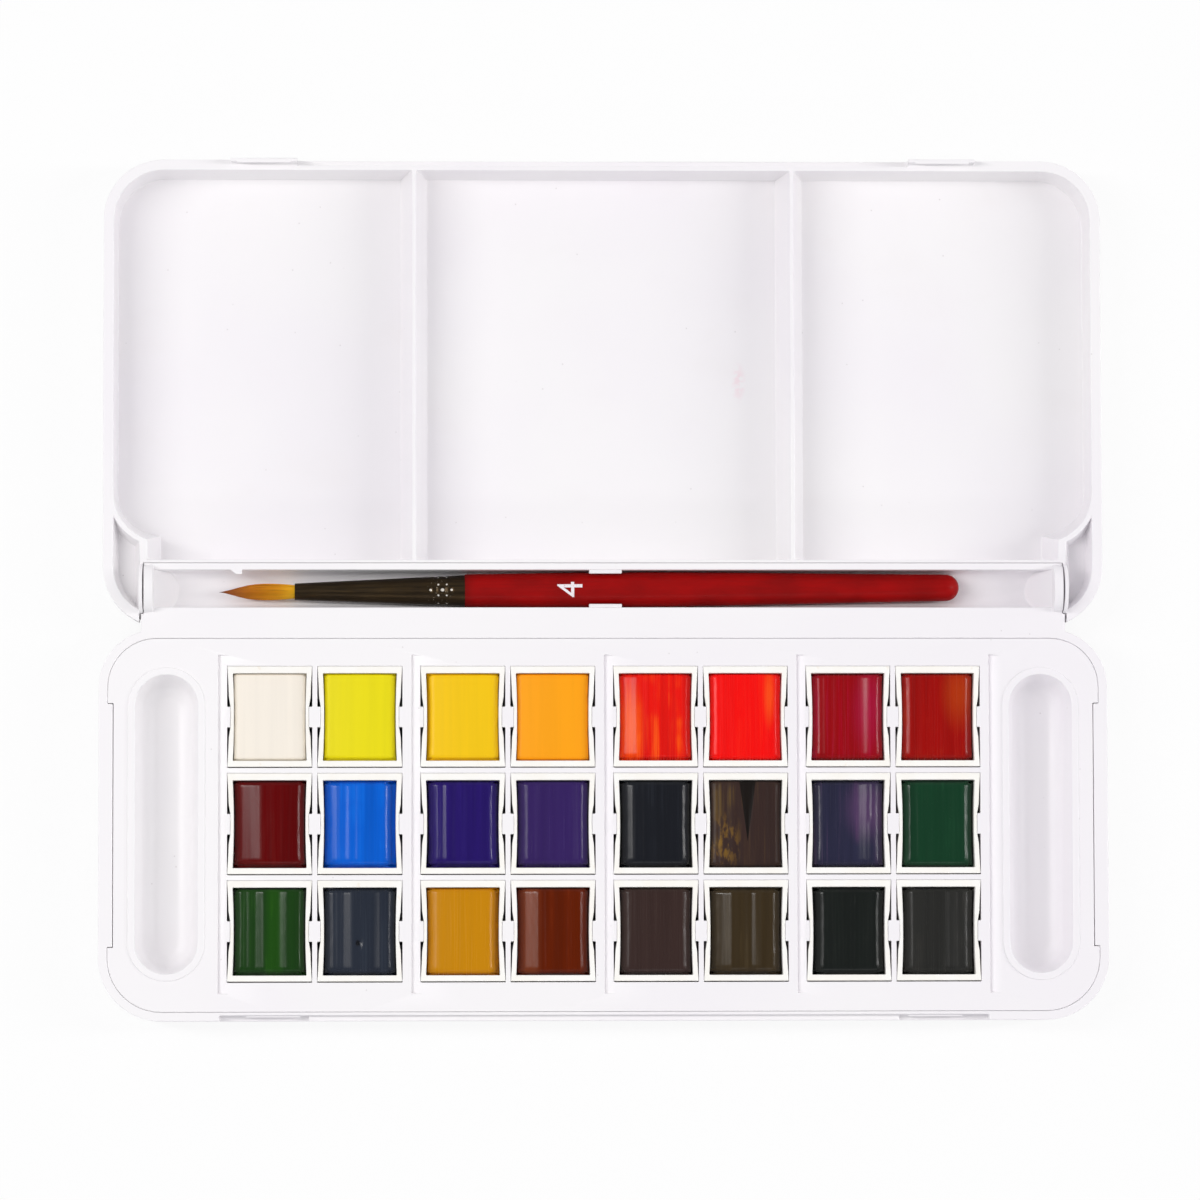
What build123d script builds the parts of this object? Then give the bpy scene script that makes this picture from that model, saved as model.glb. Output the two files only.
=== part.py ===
from build123d import *

import math
import os

# Watercolour paint set, lying open and flat.
# X runs along the hinge, +Y towards the lid, +Z up. The table is Z = 0 and the hinge axis is over Y = 0.

# Both halves of the box
SAME = 0.01  # two heights or directions nearer than this are one
DEPTH = 12.5  # table to rim on either half, so the closed box is twice this
REACH = 82.3  # hinge axis to the front face of either half
FLOOR = 1.5
EDGE_ROUND = 3.0  # round along the outer bottom edges
RUN_GAP = 0.15  # between faces that pass each other as the lid turns

# Base shell
BASE_LENGTH = 192.4
BASE_REAR = 7.8  # hinge axis to the tub's rear face
BASE_WALL = 1.7
BASE_FRONT_R = 12.0
BASE_REAR_R = 11.0
PAD = 1.0  # side walls are this much thicker along their middle
PAD_FROM = 22.0  # hinge axis to the near end of that stretch
PAD_TO = 68.2

# Hinge barrel, which is also the brush trough
TROUGH_R = 3.6
BARREL_WALL = 1.3
TROUGH_SINK = 3.6  # rim to the centre of the half-round floor
STRIP_THICK = 1.8
STRIP_FROM_END = 8.0  # base's end to the strip's end
END_WALL_FROM_END = 10.35  # base's end to the trough's end
END_WALL = 1.45
END_DISC_R = 4.4
PIN_R = 1.45
PIN_CLEAR = 0.05
PIN_HOLD = 1.0  # length of pin inside the end wall
SLIT = 0.55  # between the barrel's end and the lid's knuckle plate
RAMP_LONG = 4.6  # slope at each end of the trough
TIP_TAB_X = -70.1  # small tab on the trough's rear wall, beside the brush's tip
TIP_TAB_LONG = 2.2
TIP_TAB_OUT = 0.9
TIP_TAB_HIGH = 1.2

# Tabs that hold the brush down
CLIP_MID_X = 0.3
CLIP_LENGTH = 6.3
CLIP_OVER = 0.7
CLIP_THICK = 1.5
CLIP_DROP = 0.1  # tabs' top below the rim

# Lid
LID_INSET = 0.7  # lid's end inside the base's end
LID_R = 11.5
EAR_REACH = 7.3  # the ears reach this far behind the hinge axis
LID_RIM = 2.0
PALETTE_WALL = 1.0
PALETTE_SLOPE = 2.1  # how far a palette wall leans in from rim to floor
PALETTE_TURN_Y = 18.4  # centre of the palette's rounded rear corners
PALETTE_FROM_END = 9.2  # base's end to the palette's wall beside an ear
BACK_WALL = 0.45
RIB_X = 36.2
RIB_TOP = 0.8
KNUCKLE_PLATE = 0.7
KNUCKLE_R = 4.7
EAR_LEAN = 0.8  # how far an ear pocket's walls lean in from rim to floor

# Finger recess and snap catches on the front rims
RECESS_HALF = 58.5
RECESS_IN = 1.1
RECESS_DEEP = 1.8
TONGUE_MID = 64.9
TONGUE_LENGTH = 12.8
TONGUE_THICK = 0.6
TONGUE_HIGH = 3.0
TONGUE_SET_IN = 0.05  # tongue's outer face behind the front face
BEAD = 0.25
BEAD_HIGH = 0.8
NOTCH_MID = 64.7
NOTCH_LENGTH = 17.0
NOTCH_DEEP = 3.5
CATCH_MID = 63.0
CATCH_LENGTH = 10.3
CATCH_OUT = 0.35
CATCH_HIGH = 0.8

# Pan tray
SEAM = 0.12  # all round, between tray and shell
TRAY_REAR = 9.5  # hinge axis to the tray's rear edge
DECK_DROP = 0.1  # deck below the rim
DECK = 1.2
SKIRT = 1.0
FIELD_FROM_FRONT = 37.4  # front face to the middle row of pans
GROOVE_WIDE = 2.1
GROOVE_DEEP = 0.9
GROOVE_PAST = 1.2  # grooves run this far past the cells

# Half pans
PAN_X = 15.8
PAN_Y = 19.0
PAN_HIGH = 9.9
PAN_BOW = 0.47  # how far a nub pushes the long wall in
PAN_WALL_X = 1.05
PAN_WALL_Y = 1.25
PAN_FLOOR = 1.0
PAIR_PITCH = 17.15
END_MARGIN = 22.7  # base's end to the outermost groove
ROW_PITCH = 20.4
GROUPS, PAIR, ROWS = 4, 2, 3
CELL_GAP = 0.2  # cell wall to the pan's corners
CELL_FLOOR = 0.9
NUB_LENGTH = 3.9
NUB_CLEAR = 0.05
NUB_LOW = 3.0  # nubs start this far above the cell's floor
FIELD_WALL = 0.9

# Paint
PAINT_GAP = 0.12
PAINT_BELOW = 0.45  # crown of the paint below the pan's rim
PAINT_CROWN = 0.75

# Wells
WELL_FROM_END = 12.9  # base's end to the middle of a well
WELL_LONG = 57.0
WELL_WIDE = 12.0
WELL_DEEP = 7.5
WELL_TAPER = 12.0
WELL_ROUND = 3.2
WELL_WALL = 1.1
RING_WIDE = 1.3
RING_HIGH = 0.3

# Brush
BRUSH_TIP = -73.6
HAIR_OUT = 14.6
FERRULE_LONG = 32.5
HANDLE_LONG = 94.7
BRUSH_SKEW = 0.35  # degrees, as it lies in the trough
BRUSH_FLOAT = 0.05
HANDLE_R = 3.35  # at its thickest
HANDLE_NECK_R = 3.15
HANDLE_THICK_AT = 25.7  # from the ferrule to the thickest place
HANDLE_END_R = 2.55
HANDLE_RISE = 0.01  # slope of the handle's outline at the ferrule
HANDLE_FALL = 0.012  # and at its round end
FERRULE_MOUTH_R = 1.6
FERRULE_REAR_R = 3.0
FERRULE_WALL = 0.3
TENON_LONG = 14.0
TENON_CLEAR = 0.05
CRIMP_FROM_REAR = (3.4, 6.0)
CRIMP_WIDE = 0.9
CRIMP_DEEP = 0.12
ROOT_LONG = 5.0
STRANDS = 300
STRAND_SIDES = 3
STRAND_R = 0.06
TUFT_R = 1.2
# each station's distance out of the ferrule and the tuft's width there, as shares
TUFT_PROFILE = ((0, 1.0), (0.35, 1.22), (0.74, 0.78), (1.0, 0.05))

# Worked out from the values above
BASE_HALF = BASE_LENGTH / 2
LID_LENGTH = BASE_LENGTH - 2 * LID_INSET
LID_HALF = LID_LENGTH / 2
STRIP_HALF = BASE_HALF - STRIP_FROM_END
END_WALL_IN = BASE_HALF - END_WALL_FROM_END
PALETTE_HALF_REAR = BASE_HALF - PALETTE_FROM_END
FIELD_Y = REACH - FIELD_FROM_FRONT
GROUP_PITCH = (BASE_LENGTH - 2 * END_MARGIN) / GROUPS
WELL_X = BASE_HALF - WELL_FROM_END
BARREL_R = TROUGH_R + BARREL_WALL
END_WALL_OUT = END_WALL_IN + END_WALL
PLATE_IN = END_WALL_OUT + SLIT
PLATE_OUT = PLATE_IN + KNUCKLE_PLATE
TROUGH_Z = DEPTH - TROUGH_SINK
PALETTE_HALF = LID_HALF - LID_RIM
PALETTE_R = LID_R - LID_RIM
DECK_Z = DEPTH - DECK_DROP
CELL_X = PAN_X + 2 * CELL_GAP
CELL_Y = PAN_Y + 2 * CELL_GAP
CELL_Z = FLOOR + CELL_FLOOR
FIELD_X = (GROUPS - 1) * GROUP_PITCH + (PAIR - 1) * PAIR_PITCH + CELL_X + 2 * FIELD_WALL
FIELD_LONG_Y = (ROWS - 1) * ROW_PITCH + CELL_Y + 2 * FIELD_WALL
BRUSH_Z = TROUGH_Z - TROUGH_R + HANDLE_R + BRUSH_FLOAT
FERRULE_X = BRUSH_TIP + HAIR_OUT
HANDLE_X = FERRULE_X + FERRULE_LONG
BRUSH_ALONG = (1, math.tan(math.radians(BRUSH_SKEW)), 0)
BRUSH_PLANE = Plane((0, 0, BRUSH_Z), x_dir=BRUSH_ALONG, z_dir=(0, 0, 1))


def cell_places():
    """Row, column and centre of every pan: row 1 is nearest the hinge, column 1 is at the left."""
    for row in range(ROWS):
        y = -FIELD_Y + (((ROWS - 1) / 2) - row) * ROW_PITCH
        for group in range(GROUPS):
            for side in range(PAIR):
                x = (group - (GROUPS - 1) / 2) * GROUP_PITCH + (side - (PAIR - 1) / 2) * PAIR_PITCH
                yield row + 1, group * PAIR + side + 1, x, y


def finish(piece, name):
    """Label a finished piece and write it out."""
    piece.label = name
    export_step(piece, f"parts/{name}.step")


def bowed_outline(wide, tall, bow):
    """A rectangle whose long sides curve inward by bow."""
    x, y = wide / 2, tall / 2
    with BuildLine() as outline:
        ThreePointArc((x, -y), (x - bow, 0), (x, y))
        Line((x, y), (-x, y))
        ThreePointArc((-x, y), (-x + bow, 0), (-x, -y))
        Line((-x, -y), (x, -y))
    return outline.line


def tub_outline(half, rear, front, rear_r, front_r):
    """A rounded rectangle from y = -rear to y = -front."""
    diag = 1 - math.sqrt(0.5)
    with BuildLine() as outline:
        Line((-half + rear_r, -rear), (half - rear_r, -rear))
        ThreePointArc(
            (half - rear_r, -rear), (half - rear_r * diag, -rear - rear_r * diag), (half, -rear - rear_r)
        )
        Line((half, -rear - rear_r), (half, -front + front_r))
        ThreePointArc(
            (half, -front + front_r), (half - front_r * diag, -front + front_r * diag), (half - front_r, -front)
        )
        Line((half - front_r, -front), (-half + front_r, -front))
        ThreePointArc(
            (-half + front_r, -front),
            (-half + front_r * diag, -front + front_r * diag),
            (-half, -front + front_r),
        )
        Line((-half, -front + front_r), (-half, -rear - rear_r))
        ThreePointArc(
            (-half, -rear - rear_r), (-half + rear_r * diag, -rear - rear_r * diag), (-half + rear_r, -rear)
        )
    return outline.line


def tray_outline(play):
    """The space inside the base shell's walls, smaller by play all round."""
    inset = BASE_WALL + play
    rear_r, front_r = BASE_REAR_R - inset, BASE_FRONT_R - inset
    make_face(tub_outline(BASE_HALF - inset, TRAY_REAR + play, REACH - inset, rear_r, front_r))
    with Locations(*[(side * (BASE_HALF - inset - PAD / 2), -(PAD_FROM + PAD_TO) / 2) for side in (-1, 1)]):
        Rectangle(PAD, PAD_TO - PAD_FROM + 2 * play, mode=Mode.SUBTRACT)


def trough_outline(radius, top):
    """A U open at the top, as it lies across the hinge axis."""
    with BuildLine() as outline:
        ThreePointArc((-radius, TROUGH_Z), (0, TROUGH_Z - radius), (radius, TROUGH_Z))
        Line((radius, TROUGH_Z), (radius, top))
        Line((radius, top), (-radius, top))
        Line((-radius, top), (-radius, TROUGH_Z))
    return outline.line


def across(x):
    """A plane square to the hinge axis: its own x is the box's Y and its own y is Z."""
    return Plane((x, 0, 0), x_dir=(0, 1, 0), z_dir=(1, 0, 0))


def trough_ramp(side):
    """The slope at one end of the trough, from its floor up to the rim."""
    low = TROUGH_Z - TROUGH_R
    inner, outer = side * (END_WALL_IN - RAMP_LONG), side * END_WALL_IN
    with BuildPart() as ramp:
        with BuildSketch(across(outer)):
            make_face(trough_outline(TROUGH_R, DEPTH))
        extrude(amount=-side * RAMP_LONG)
        with BuildSketch(Plane.XZ):
            with BuildLine():
                Polyline((inner, low), (outer, DEPTH), (inner, DEPTH), close=True)
            make_face()
        extrude(amount=TROUGH_R, both=True, mode=Mode.SUBTRACT)
    return ramp.part


def base_shell():
    """The bottom tub, with the brush trough and the hinge bearings behind it."""
    ramps = [trough_ramp(side) for side in (-1, 1)]
    with BuildPart() as shell:
        with BuildSketch():
            make_face(tub_outline(BASE_HALF, BASE_REAR, REACH, BASE_REAR_R, BASE_FRONT_R))
        extrude(amount=DEPTH)
        fillet(shell.faces().sort_by(Axis.Z)[0].edges(), EDGE_ROUND)
        with BuildSketch(Plane.XY.offset(FLOOR)):
            tray_outline(0)
        extrude(amount=DEPTH, mode=Mode.SUBTRACT)

        # Strip that carries the barrel, narrower where the knuckle plates turn past its ends
        strip_z = DEPTH - STRIP_THICK / 2
        strip_from = KNUCKLE_R + RUN_GAP
        with Locations((0, -(strip_from + TRAY_REAR) / 2, strip_z)):
            Box(2 * STRIP_HALF, TRAY_REAR - strip_from, STRIP_THICK)
        with Locations((0, -(TROUGH_R + TRAY_REAR) / 2, strip_z)):
            Box(2 * END_WALL_OUT, TRAY_REAR - TROUGH_R, STRIP_THICK)
        with BuildSketch(across(-END_WALL_OUT)):
            make_face(trough_outline(BARREL_R, DEPTH))
        extrude(amount=2 * END_WALL_OUT)
        for side in (-1, 1):
            with BuildSketch(across(side * END_WALL_OUT)):
                with Locations((0, DEPTH)):
                    Circle(END_DISC_R)
            extrude(amount=-side * END_WALL)
        with BuildSketch(across(-END_WALL_IN)):
            make_face(trough_outline(TROUGH_R, DEPTH + END_DISC_R))
        extrude(amount=2 * END_WALL_IN, mode=Mode.SUBTRACT)
        add(ramps)
        with BuildSketch(Plane.XY.offset(DEPTH)):
            with BuildLine():
                Polyline(
                    (TIP_TAB_X - TIP_TAB_LONG / 2, TROUGH_R),
                    (TIP_TAB_X, TROUGH_R - TIP_TAB_OUT),
                    (TIP_TAB_X + TIP_TAB_LONG / 2, TROUGH_R - TIP_TAB_OUT),
                    (TIP_TAB_X + TIP_TAB_LONG / 2, TROUGH_R),
                    close=True,
                )
            make_face()
        extrude(amount=-TIP_TAB_HIGH)
        for side in (-1, 1):
            with BuildSketch(across(side * END_WALL_OUT)):
                with Locations((0, DEPTH)):
                    Circle(PIN_R + PIN_CLEAR)
            extrude(amount=-side * (PIN_HOLD + PIN_CLEAR), mode=Mode.SUBTRACT)

        # Finger recess, and a notch for each latch tongue with its catch
        with Locations((0, -REACH + RECESS_IN / 2, DEPTH - RECESS_DEEP / 2)):
            Box(2 * RECESS_HALF, RECESS_IN, RECESS_DEEP, mode=Mode.SUBTRACT)
        for side in (-1, 1):
            with Locations((side * NOTCH_MID, -REACH + RECESS_IN / 2, DEPTH - NOTCH_DEEP / 2)):
                Box(NOTCH_LENGTH, RECESS_IN, NOTCH_DEEP, mode=Mode.SUBTRACT)
            with Locations(
                (side * CATCH_MID, -REACH + RECESS_IN - CATCH_OUT / 2, DEPTH - RECESS_DEEP + CATCH_HIGH / 2)
            ):
                Box(CATCH_LENGTH, CATCH_OUT, CATCH_HIGH)
    finish(shell.part, "base_shell")


def brush_clips():
    """Two small springy tabs over the brush, one on each wall of the trough."""
    top = DEPTH - CLIP_DROP
    with BuildPart() as clips:
        for side in (-1, 1):
            with BuildSketch(across(CLIP_MID_X - CLIP_LENGTH / 2)):
                with BuildLine():
                    Polyline(
                        (side * TROUGH_R, top),
                        (side * (TROUGH_R - CLIP_OVER), top - CLIP_OVER / 2),
                        (side * (TROUGH_R - CLIP_OVER), top - CLIP_THICK + CLIP_OVER / 2),
                        (side * TROUGH_R, top - CLIP_THICK),
                        close=True,
                    )
                make_face()
            extrude(amount=CLIP_LENGTH)
    finish(clips.part, "brush_clips")


def palette_outline(left, right, rear, lean):
    """One palette compartment, its walls lean further in than at the rim.

    A side that is None is a rounded side beside an ear.
    """
    turn = PALETTE_TURN_Y
    front = REACH - LID_RIM - lean
    half, r = PALETTE_HALF - lean, PALETTE_R - lean
    beside_ear = PALETTE_HALF_REAR - lean
    meet = turn - math.sqrt(r**2 - (beside_ear - half + r) ** 2)
    diag = 1 - math.sqrt(0.5)
    bend = math.radians(225)
    with BuildLine() as outline:
        if left is None:
            Line((-beside_ear, rear), (-beside_ear, meet))
            middle = (-half + r + r * math.cos(bend), turn + r * math.sin(bend))
            ThreePointArc((-beside_ear, meet), middle, (-half, turn))
            Line((-half, turn), (-half, front - r))
            ThreePointArc((-half, front - r), (-half + r * diag, front - r * diag), (-half + r, front))
            start, end = (-half + r, front), (-beside_ear, rear)
        else:
            Line((left + lean, rear), (left + lean, front))
            start, end = (left + lean, front), (left + lean, rear)
        if right is None:
            Line(start, (half - r, front))
            ThreePointArc((half - r, front), (half - r * diag, front - r * diag), (half, front - r))
            Line((half, front - r), (half, turn))
            middle = (half - r - r * math.cos(bend), turn + r * math.sin(bend))
            ThreePointArc((half, turn), middle, (beside_ear, meet))
            Line((beside_ear, meet), (beside_ear, rear))
            Line((beside_ear, rear), end)
        else:
            Line(start, (right - lean, front))
            Line((right - lean, front), (right - lean, rear))
            Line((right - lean, rear), end)
    return outline.line


def ear_pocket_outline(side, lean):
    """The open pocket in one ear, between the lid's rim, the palette's wall and the knuckle plate."""
    edge = PALETTE_HALF - lean
    plate = PLATE_OUT + lean
    wall_r = PALETTE_R + PALETTE_WALL + lean
    ear_r = PALETTE_R - lean
    centre_x = PALETTE_HALF - PALETTE_R
    ear_turn = -EAR_REACH + LID_R

    def palette_side(x):
        return side * x, PALETTE_TURN_Y - math.sqrt(wall_r**2 - (x - centre_x) ** 2)

    def ear_side(x):
        return side * x, ear_turn - math.sqrt(ear_r**2 - (x - centre_x) ** 2)

    middle = (edge + plate) / 2
    corner = (side * edge, ear_turn)
    with BuildLine() as outline:
        ThreePointArc(palette_side(edge), palette_side(middle), palette_side(plate))
        Line(palette_side(plate), ear_side(plate))
        ThreePointArc(ear_side(plate), ear_side(middle), corner)
        Line(corner, palette_side(edge))
    return outline.line


def lid():
    """The palette lid, lying open on its back, with its ears round the ends of the barrel."""
    rear_gap = BARREL_R + RUN_GAP
    with BuildPart() as top:
        with BuildSketch():
            make_face(tub_outline(LID_HALF, -REACH, EAR_REACH, LID_R, LID_R))
        extrude(amount=DEPTH)
        fillet(top.faces().sort_by(Axis.Z)[0].edges(), EDGE_ROUND)

        # Room for the barrel and the strip, up to the knuckle plates
        with Locations((0, (rear_gap - EAR_REACH) / 2, DEPTH / 2)):
            Box(2 * PLATE_IN, rear_gap + EAR_REACH, DEPTH, mode=Mode.SUBTRACT)
        with Locations((0, -(KNUCKLE_R + EAR_REACH) / 2, DEPTH / 2)):
            Box(2 * PLATE_OUT, EAR_REACH - KNUCKLE_R, DEPTH, mode=Mode.SUBTRACT)

        # Three mixing compartments
        near, far = RIB_X - RIB_TOP / 2, RIB_X + RIB_TOP / 2
        bays = ((None, -far), (-near, near), (far, None))
        for left, right in bays:
            for height, lean in ((FLOOR, PALETTE_SLOPE), (DEPTH, 0)):
                with BuildSketch(Plane.XY.offset(height)):
                    make_face(palette_outline(left, right, rear_gap, lean))
            loft(ruled=True, mode=Mode.SUBTRACT)
        with Locations((0, rear_gap + BACK_WALL / 2, DEPTH / 2)):
            Box(2 * PLATE_IN, BACK_WALL, DEPTH)

        for side in (-1, 1):
            for height, lean in ((FLOOR, EAR_LEAN), (DEPTH, 0)):
                with BuildSketch(Plane.XY.offset(height)):
                    make_face(ear_pocket_outline(side, lean))
            loft(ruled=True, mode=Mode.SUBTRACT)
            with BuildSketch(across(side * PLATE_IN)):
                with Locations((0, DEPTH)):
                    Circle(KNUCKLE_R)
            extrude(amount=side * KNUCKLE_PLATE)
            with BuildSketch(across(side * PLATE_IN)):
                with Locations((0, DEPTH)):
                    Circle(PIN_R)
            extrude(amount=-side * (SLIT + PIN_HOLD))

        # The ears' lower rear edges are turned about the axis, so that they clear the table
        swing = DEPTH - RUN_GAP
        low = DEPTH - math.sqrt(swing**2 - EAR_REACH**2)
        with BuildSketch(across(-LID_HALF)):
            with BuildLine():
                bend = -math.radians(90) - math.asin(EAR_REACH / swing) / 2
                middle = (swing * math.cos(bend), DEPTH + swing * math.sin(bend))
                ThreePointArc((0, DEPTH - swing), middle, (-EAR_REACH, low))
                Polyline((-EAR_REACH, low), (-EAR_REACH, 0), (0, 0), (0, DEPTH - swing))
            make_face()
        extrude(amount=LID_LENGTH, mode=Mode.SUBTRACT)

        # Finger recess and the two latch tongues
        with Locations((0, REACH - RECESS_IN / 2, DEPTH - RECESS_DEEP / 2)):
            Box(2 * RECESS_HALF, RECESS_IN, RECESS_DEEP, mode=Mode.SUBTRACT)
        for side in (-1, 1):
            outer = REACH - TONGUE_SET_IN
            with Locations((side * TONGUE_MID, outer - TONGUE_THICK / 2, DEPTH + TONGUE_HIGH / 2)):
                Box(TONGUE_LENGTH, TONGUE_THICK, TONGUE_HIGH)
            bead_y = outer - TONGUE_THICK - BEAD / 2
            with Locations((side * TONGUE_MID, bead_y, DEPTH + TONGUE_HIGH - BEAD_HIGH / 2)):
                Box(CATCH_LENGTH, BEAD, BEAD_HIGH)
    finish(top.part, "lid")


def pan_tray():
    """The insert: a deck on a skirt, with cells for the pans and a well at each end."""
    with BuildPart() as tray:
        with BuildSketch(Plane.XY.offset(FLOOR)):
            tray_outline(SEAM)
        extrude(amount=DECK_Z - FLOOR)
        with BuildSketch(Plane.XY.offset(FLOOR)):
            tray_outline(SEAM + SKIRT)
        extrude(amount=DECK_Z - DECK - FLOOR, mode=Mode.SUBTRACT)
        with Locations((0, -FIELD_Y, (FLOOR + DECK_Z) / 2)):
            Box(FIELD_X, FIELD_LONG_Y, DECK_Z - FLOOR)

        # Wells with a raised ring
        sides = [(side * WELL_X, -FIELD_Y) for side in (-1, 1)]
        with BuildSketch(Plane.XY.offset(DECK_Z)):
            with Locations(*sides):
                SlotOverall(WELL_LONG + 2 * WELL_WALL, WELL_WIDE + 2 * WELL_WALL, rotation=90)
        extrude(amount=-WELL_DEEP - WELL_WALL, taper=WELL_TAPER)
        with BuildSketch(Plane.XY.offset(DECK_Z)):
            with Locations(*sides):
                SlotOverall(WELL_LONG + 2 * RING_WIDE, WELL_WIDE + 2 * RING_WIDE, rotation=90)
        extrude(amount=RING_HIGH)
        with BuildSketch(Plane.XY.offset(DECK_Z + RING_HIGH)):
            with Locations(*sides):
                SlotOverall(WELL_LONG, WELL_WIDE, rotation=90)
        extrude(amount=-WELL_DEEP - RING_HIGH, taper=WELL_TAPER, mode=Mode.SUBTRACT)
        fillet(tray.faces().filter_by(well_floor).edges(), WELL_ROUND)

        # Grooves: an upright left side and a long slope up to the right
        groove_from = (0, -FIELD_Y - FIELD_LONG_Y / 2 - GROOVE_PAST, DECK_Z)
        with BuildSketch(Plane(groove_from, x_dir=(1, 0, 0), z_dir=(0, 1, 0))):
            for n in range(GROUPS + 1):
                x = (n - GROUPS / 2) * GROUP_PITCH
                with BuildLine():
                    Polyline((x, 0), (x + GROOVE_WIDE, 0), (x, GROOVE_DEEP), close=True)
                make_face()
        extrude(amount=FIELD_LONG_Y + 2 * GROOVE_PAST, mode=Mode.SUBTRACT)

        # Cells, each with a nub on both long sides that grips its pan
        for _, _, x, y in cell_places():
            with BuildSketch(Plane((x, y, CELL_Z))):
                Rectangle(CELL_X, CELL_Y)
            extrude(amount=DECK_Z - CELL_Z, mode=Mode.SUBTRACT)
        reach = CELL_X / 2 - (PAN_X / 2 - PAN_BOW + NUB_CLEAR)
        for _, _, x, y in cell_places():
            with BuildSketch(Plane((x, y, CELL_Z + NUB_LOW))):
                with Locations(*[(side * (CELL_X - reach) / 2, 0) for side in (-1, 1)]):
                    Rectangle(reach, NUB_LENGTH)
            extrude(amount=DECK_Z - CELL_Z - NUB_LOW)
    finish(tray.part, "pan_tray")


def well_floor(face):
    """True for the flat floor of a well."""
    level = abs(face.center().Z - (DECK_Z - WELL_DEEP)) < SAME
    return level and abs(face.normal_at().Z - 1) < SAME


def half_pan(row, column, x, y):
    """One half pan, its long walls bowed in by the nubs."""
    with BuildPart() as pan:
        with BuildSketch(Plane((x, y, CELL_Z))):
            make_face(bowed_outline(PAN_X, PAN_Y, PAN_BOW))
        extrude(amount=PAN_HIGH)
        with BuildSketch(Plane((x, y, CELL_Z + PAN_FLOOR))):
            make_face(bowed_outline(PAN_X - 2 * PAN_WALL_X, PAN_Y - 2 * PAN_WALL_Y, PAN_BOW))
        extrude(amount=PAN_HIGH - PAN_FLOOR, mode=Mode.SUBTRACT)
    finish(pan.part, f"half_pan_{row}{column}")


def paint(row, column, x, y):
    """The block of paint in one pan, its top crowned from side to side."""
    wide = PAN_X - 2 * (PAN_WALL_X + PAINT_GAP)
    tall = PAN_Y - 2 * (PAN_WALL_Y + PAINT_GAP)
    base = CELL_Z + PAN_FLOOR
    crown = PAN_HIGH - PAN_FLOOR - PAINT_BELOW
    with BuildPart() as block:
        with BuildSketch(Plane((x, y, base))):
            make_face(bowed_outline(wide, tall, PAN_BOW))
        extrude(amount=crown)
        with BuildSketch(Plane((x, y + tall / 2, base), x_dir=(1, 0, 0), z_dir=(0, -1, 0))):
            with BuildLine():
                ThreePointArc((-wide / 2, crown - PAINT_CROWN), (0, crown), (wide / 2, crown - PAINT_CROWN))
                Polyline(
                    (wide / 2, crown - PAINT_CROWN),
                    (wide / 2, 0),
                    (-wide / 2, 0),
                    (-wide / 2, crown - PAINT_CROWN),
                )
            make_face()
        extrude(amount=tall, mode=Mode.INTERSECT)
    finish(block.part, f"paint_{row}{column}")


def brush_handle():
    """The painted wooden handle, with a tenon inside the ferrule."""
    rear_in = FERRULE_REAR_R - FERRULE_WALL - TENON_CLEAR
    fall = (FERRULE_REAR_R - FERRULE_MOUTH_R) / FERRULE_LONG
    front_in = rear_in - fall * TENON_LONG
    end = HANDLE_X + HANDLE_LONG
    with BuildPart() as handle:
        with BuildSketch(BRUSH_PLANE):
            with BuildLine():
                Line((HANDLE_X - TENON_LONG, 0), (HANDLE_X - TENON_LONG, front_in))
                Line((HANDLE_X - TENON_LONG, front_in), (HANDLE_X, rear_in))
                Line((HANDLE_X, rear_in), (HANDLE_X, HANDLE_NECK_R))
                Spline(
                    (HANDLE_X, HANDLE_NECK_R),
                    (HANDLE_X + HANDLE_THICK_AT, HANDLE_R),
                    (end - HANDLE_END_R, HANDLE_END_R),
                    tangents=((1, HANDLE_RISE), (1, -HANDLE_FALL)),
                )
                ThreePointArc(
                    (end - HANDLE_END_R, HANDLE_END_R),
                    (end - HANDLE_END_R * (1 - math.sqrt(0.5)), HANDLE_END_R * math.sqrt(0.5)),
                    (end, 0),
                )
                Line((end, 0), (HANDLE_X - TENON_LONG, 0))
            make_face()
        revolve(axis=Axis(BRUSH_PLANE.origin, BRUSH_PLANE.x_dir))
    finish(handle.part, "brush_handle")


def brush_ferrule():
    """The tapered metal ferrule, crimped on to the handle by two rings."""
    fall = (FERRULE_REAR_R - FERRULE_MOUTH_R) / FERRULE_LONG
    with BuildPart() as ferrule:
        with BuildSketch(BRUSH_PLANE):
            with BuildLine():
                Polyline(
                    (FERRULE_X, FERRULE_MOUTH_R - FERRULE_WALL),
                    (FERRULE_X, FERRULE_MOUTH_R),
                    (HANDLE_X, FERRULE_REAR_R),
                    (HANDLE_X, FERRULE_REAR_R - FERRULE_WALL),
                    close=True,
                )
            make_face()
            for back in CRIMP_FROM_REAR:
                x, r = HANDLE_X - back, FERRULE_REAR_R - fall * back
                with BuildLine():
                    near, far = (x - CRIMP_WIDE / 2, r + fall), (x + CRIMP_WIDE / 2, r + fall)
                    ThreePointArc(near, (x, r - CRIMP_DEEP), far)
                    Line(far, near)
                make_face(mode=Mode.SUBTRACT)
        revolve(axis=Axis(BRUSH_PLANE.origin, BRUSH_PLANE.x_dir))
    finish(ferrule.part, "brush_ferrule")


def strand_places():
    """Where each strand leaves the ferrule, spread evenly over a disc by the golden angle."""
    golden = math.pi * (3 - math.sqrt(5))
    for n in range(STRANDS):
        r = (TUFT_R - STRAND_R) * math.sqrt((n + 0.5) / STRANDS)
        yield r * math.cos(n * golden), r * math.sin(n * golden)


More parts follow.
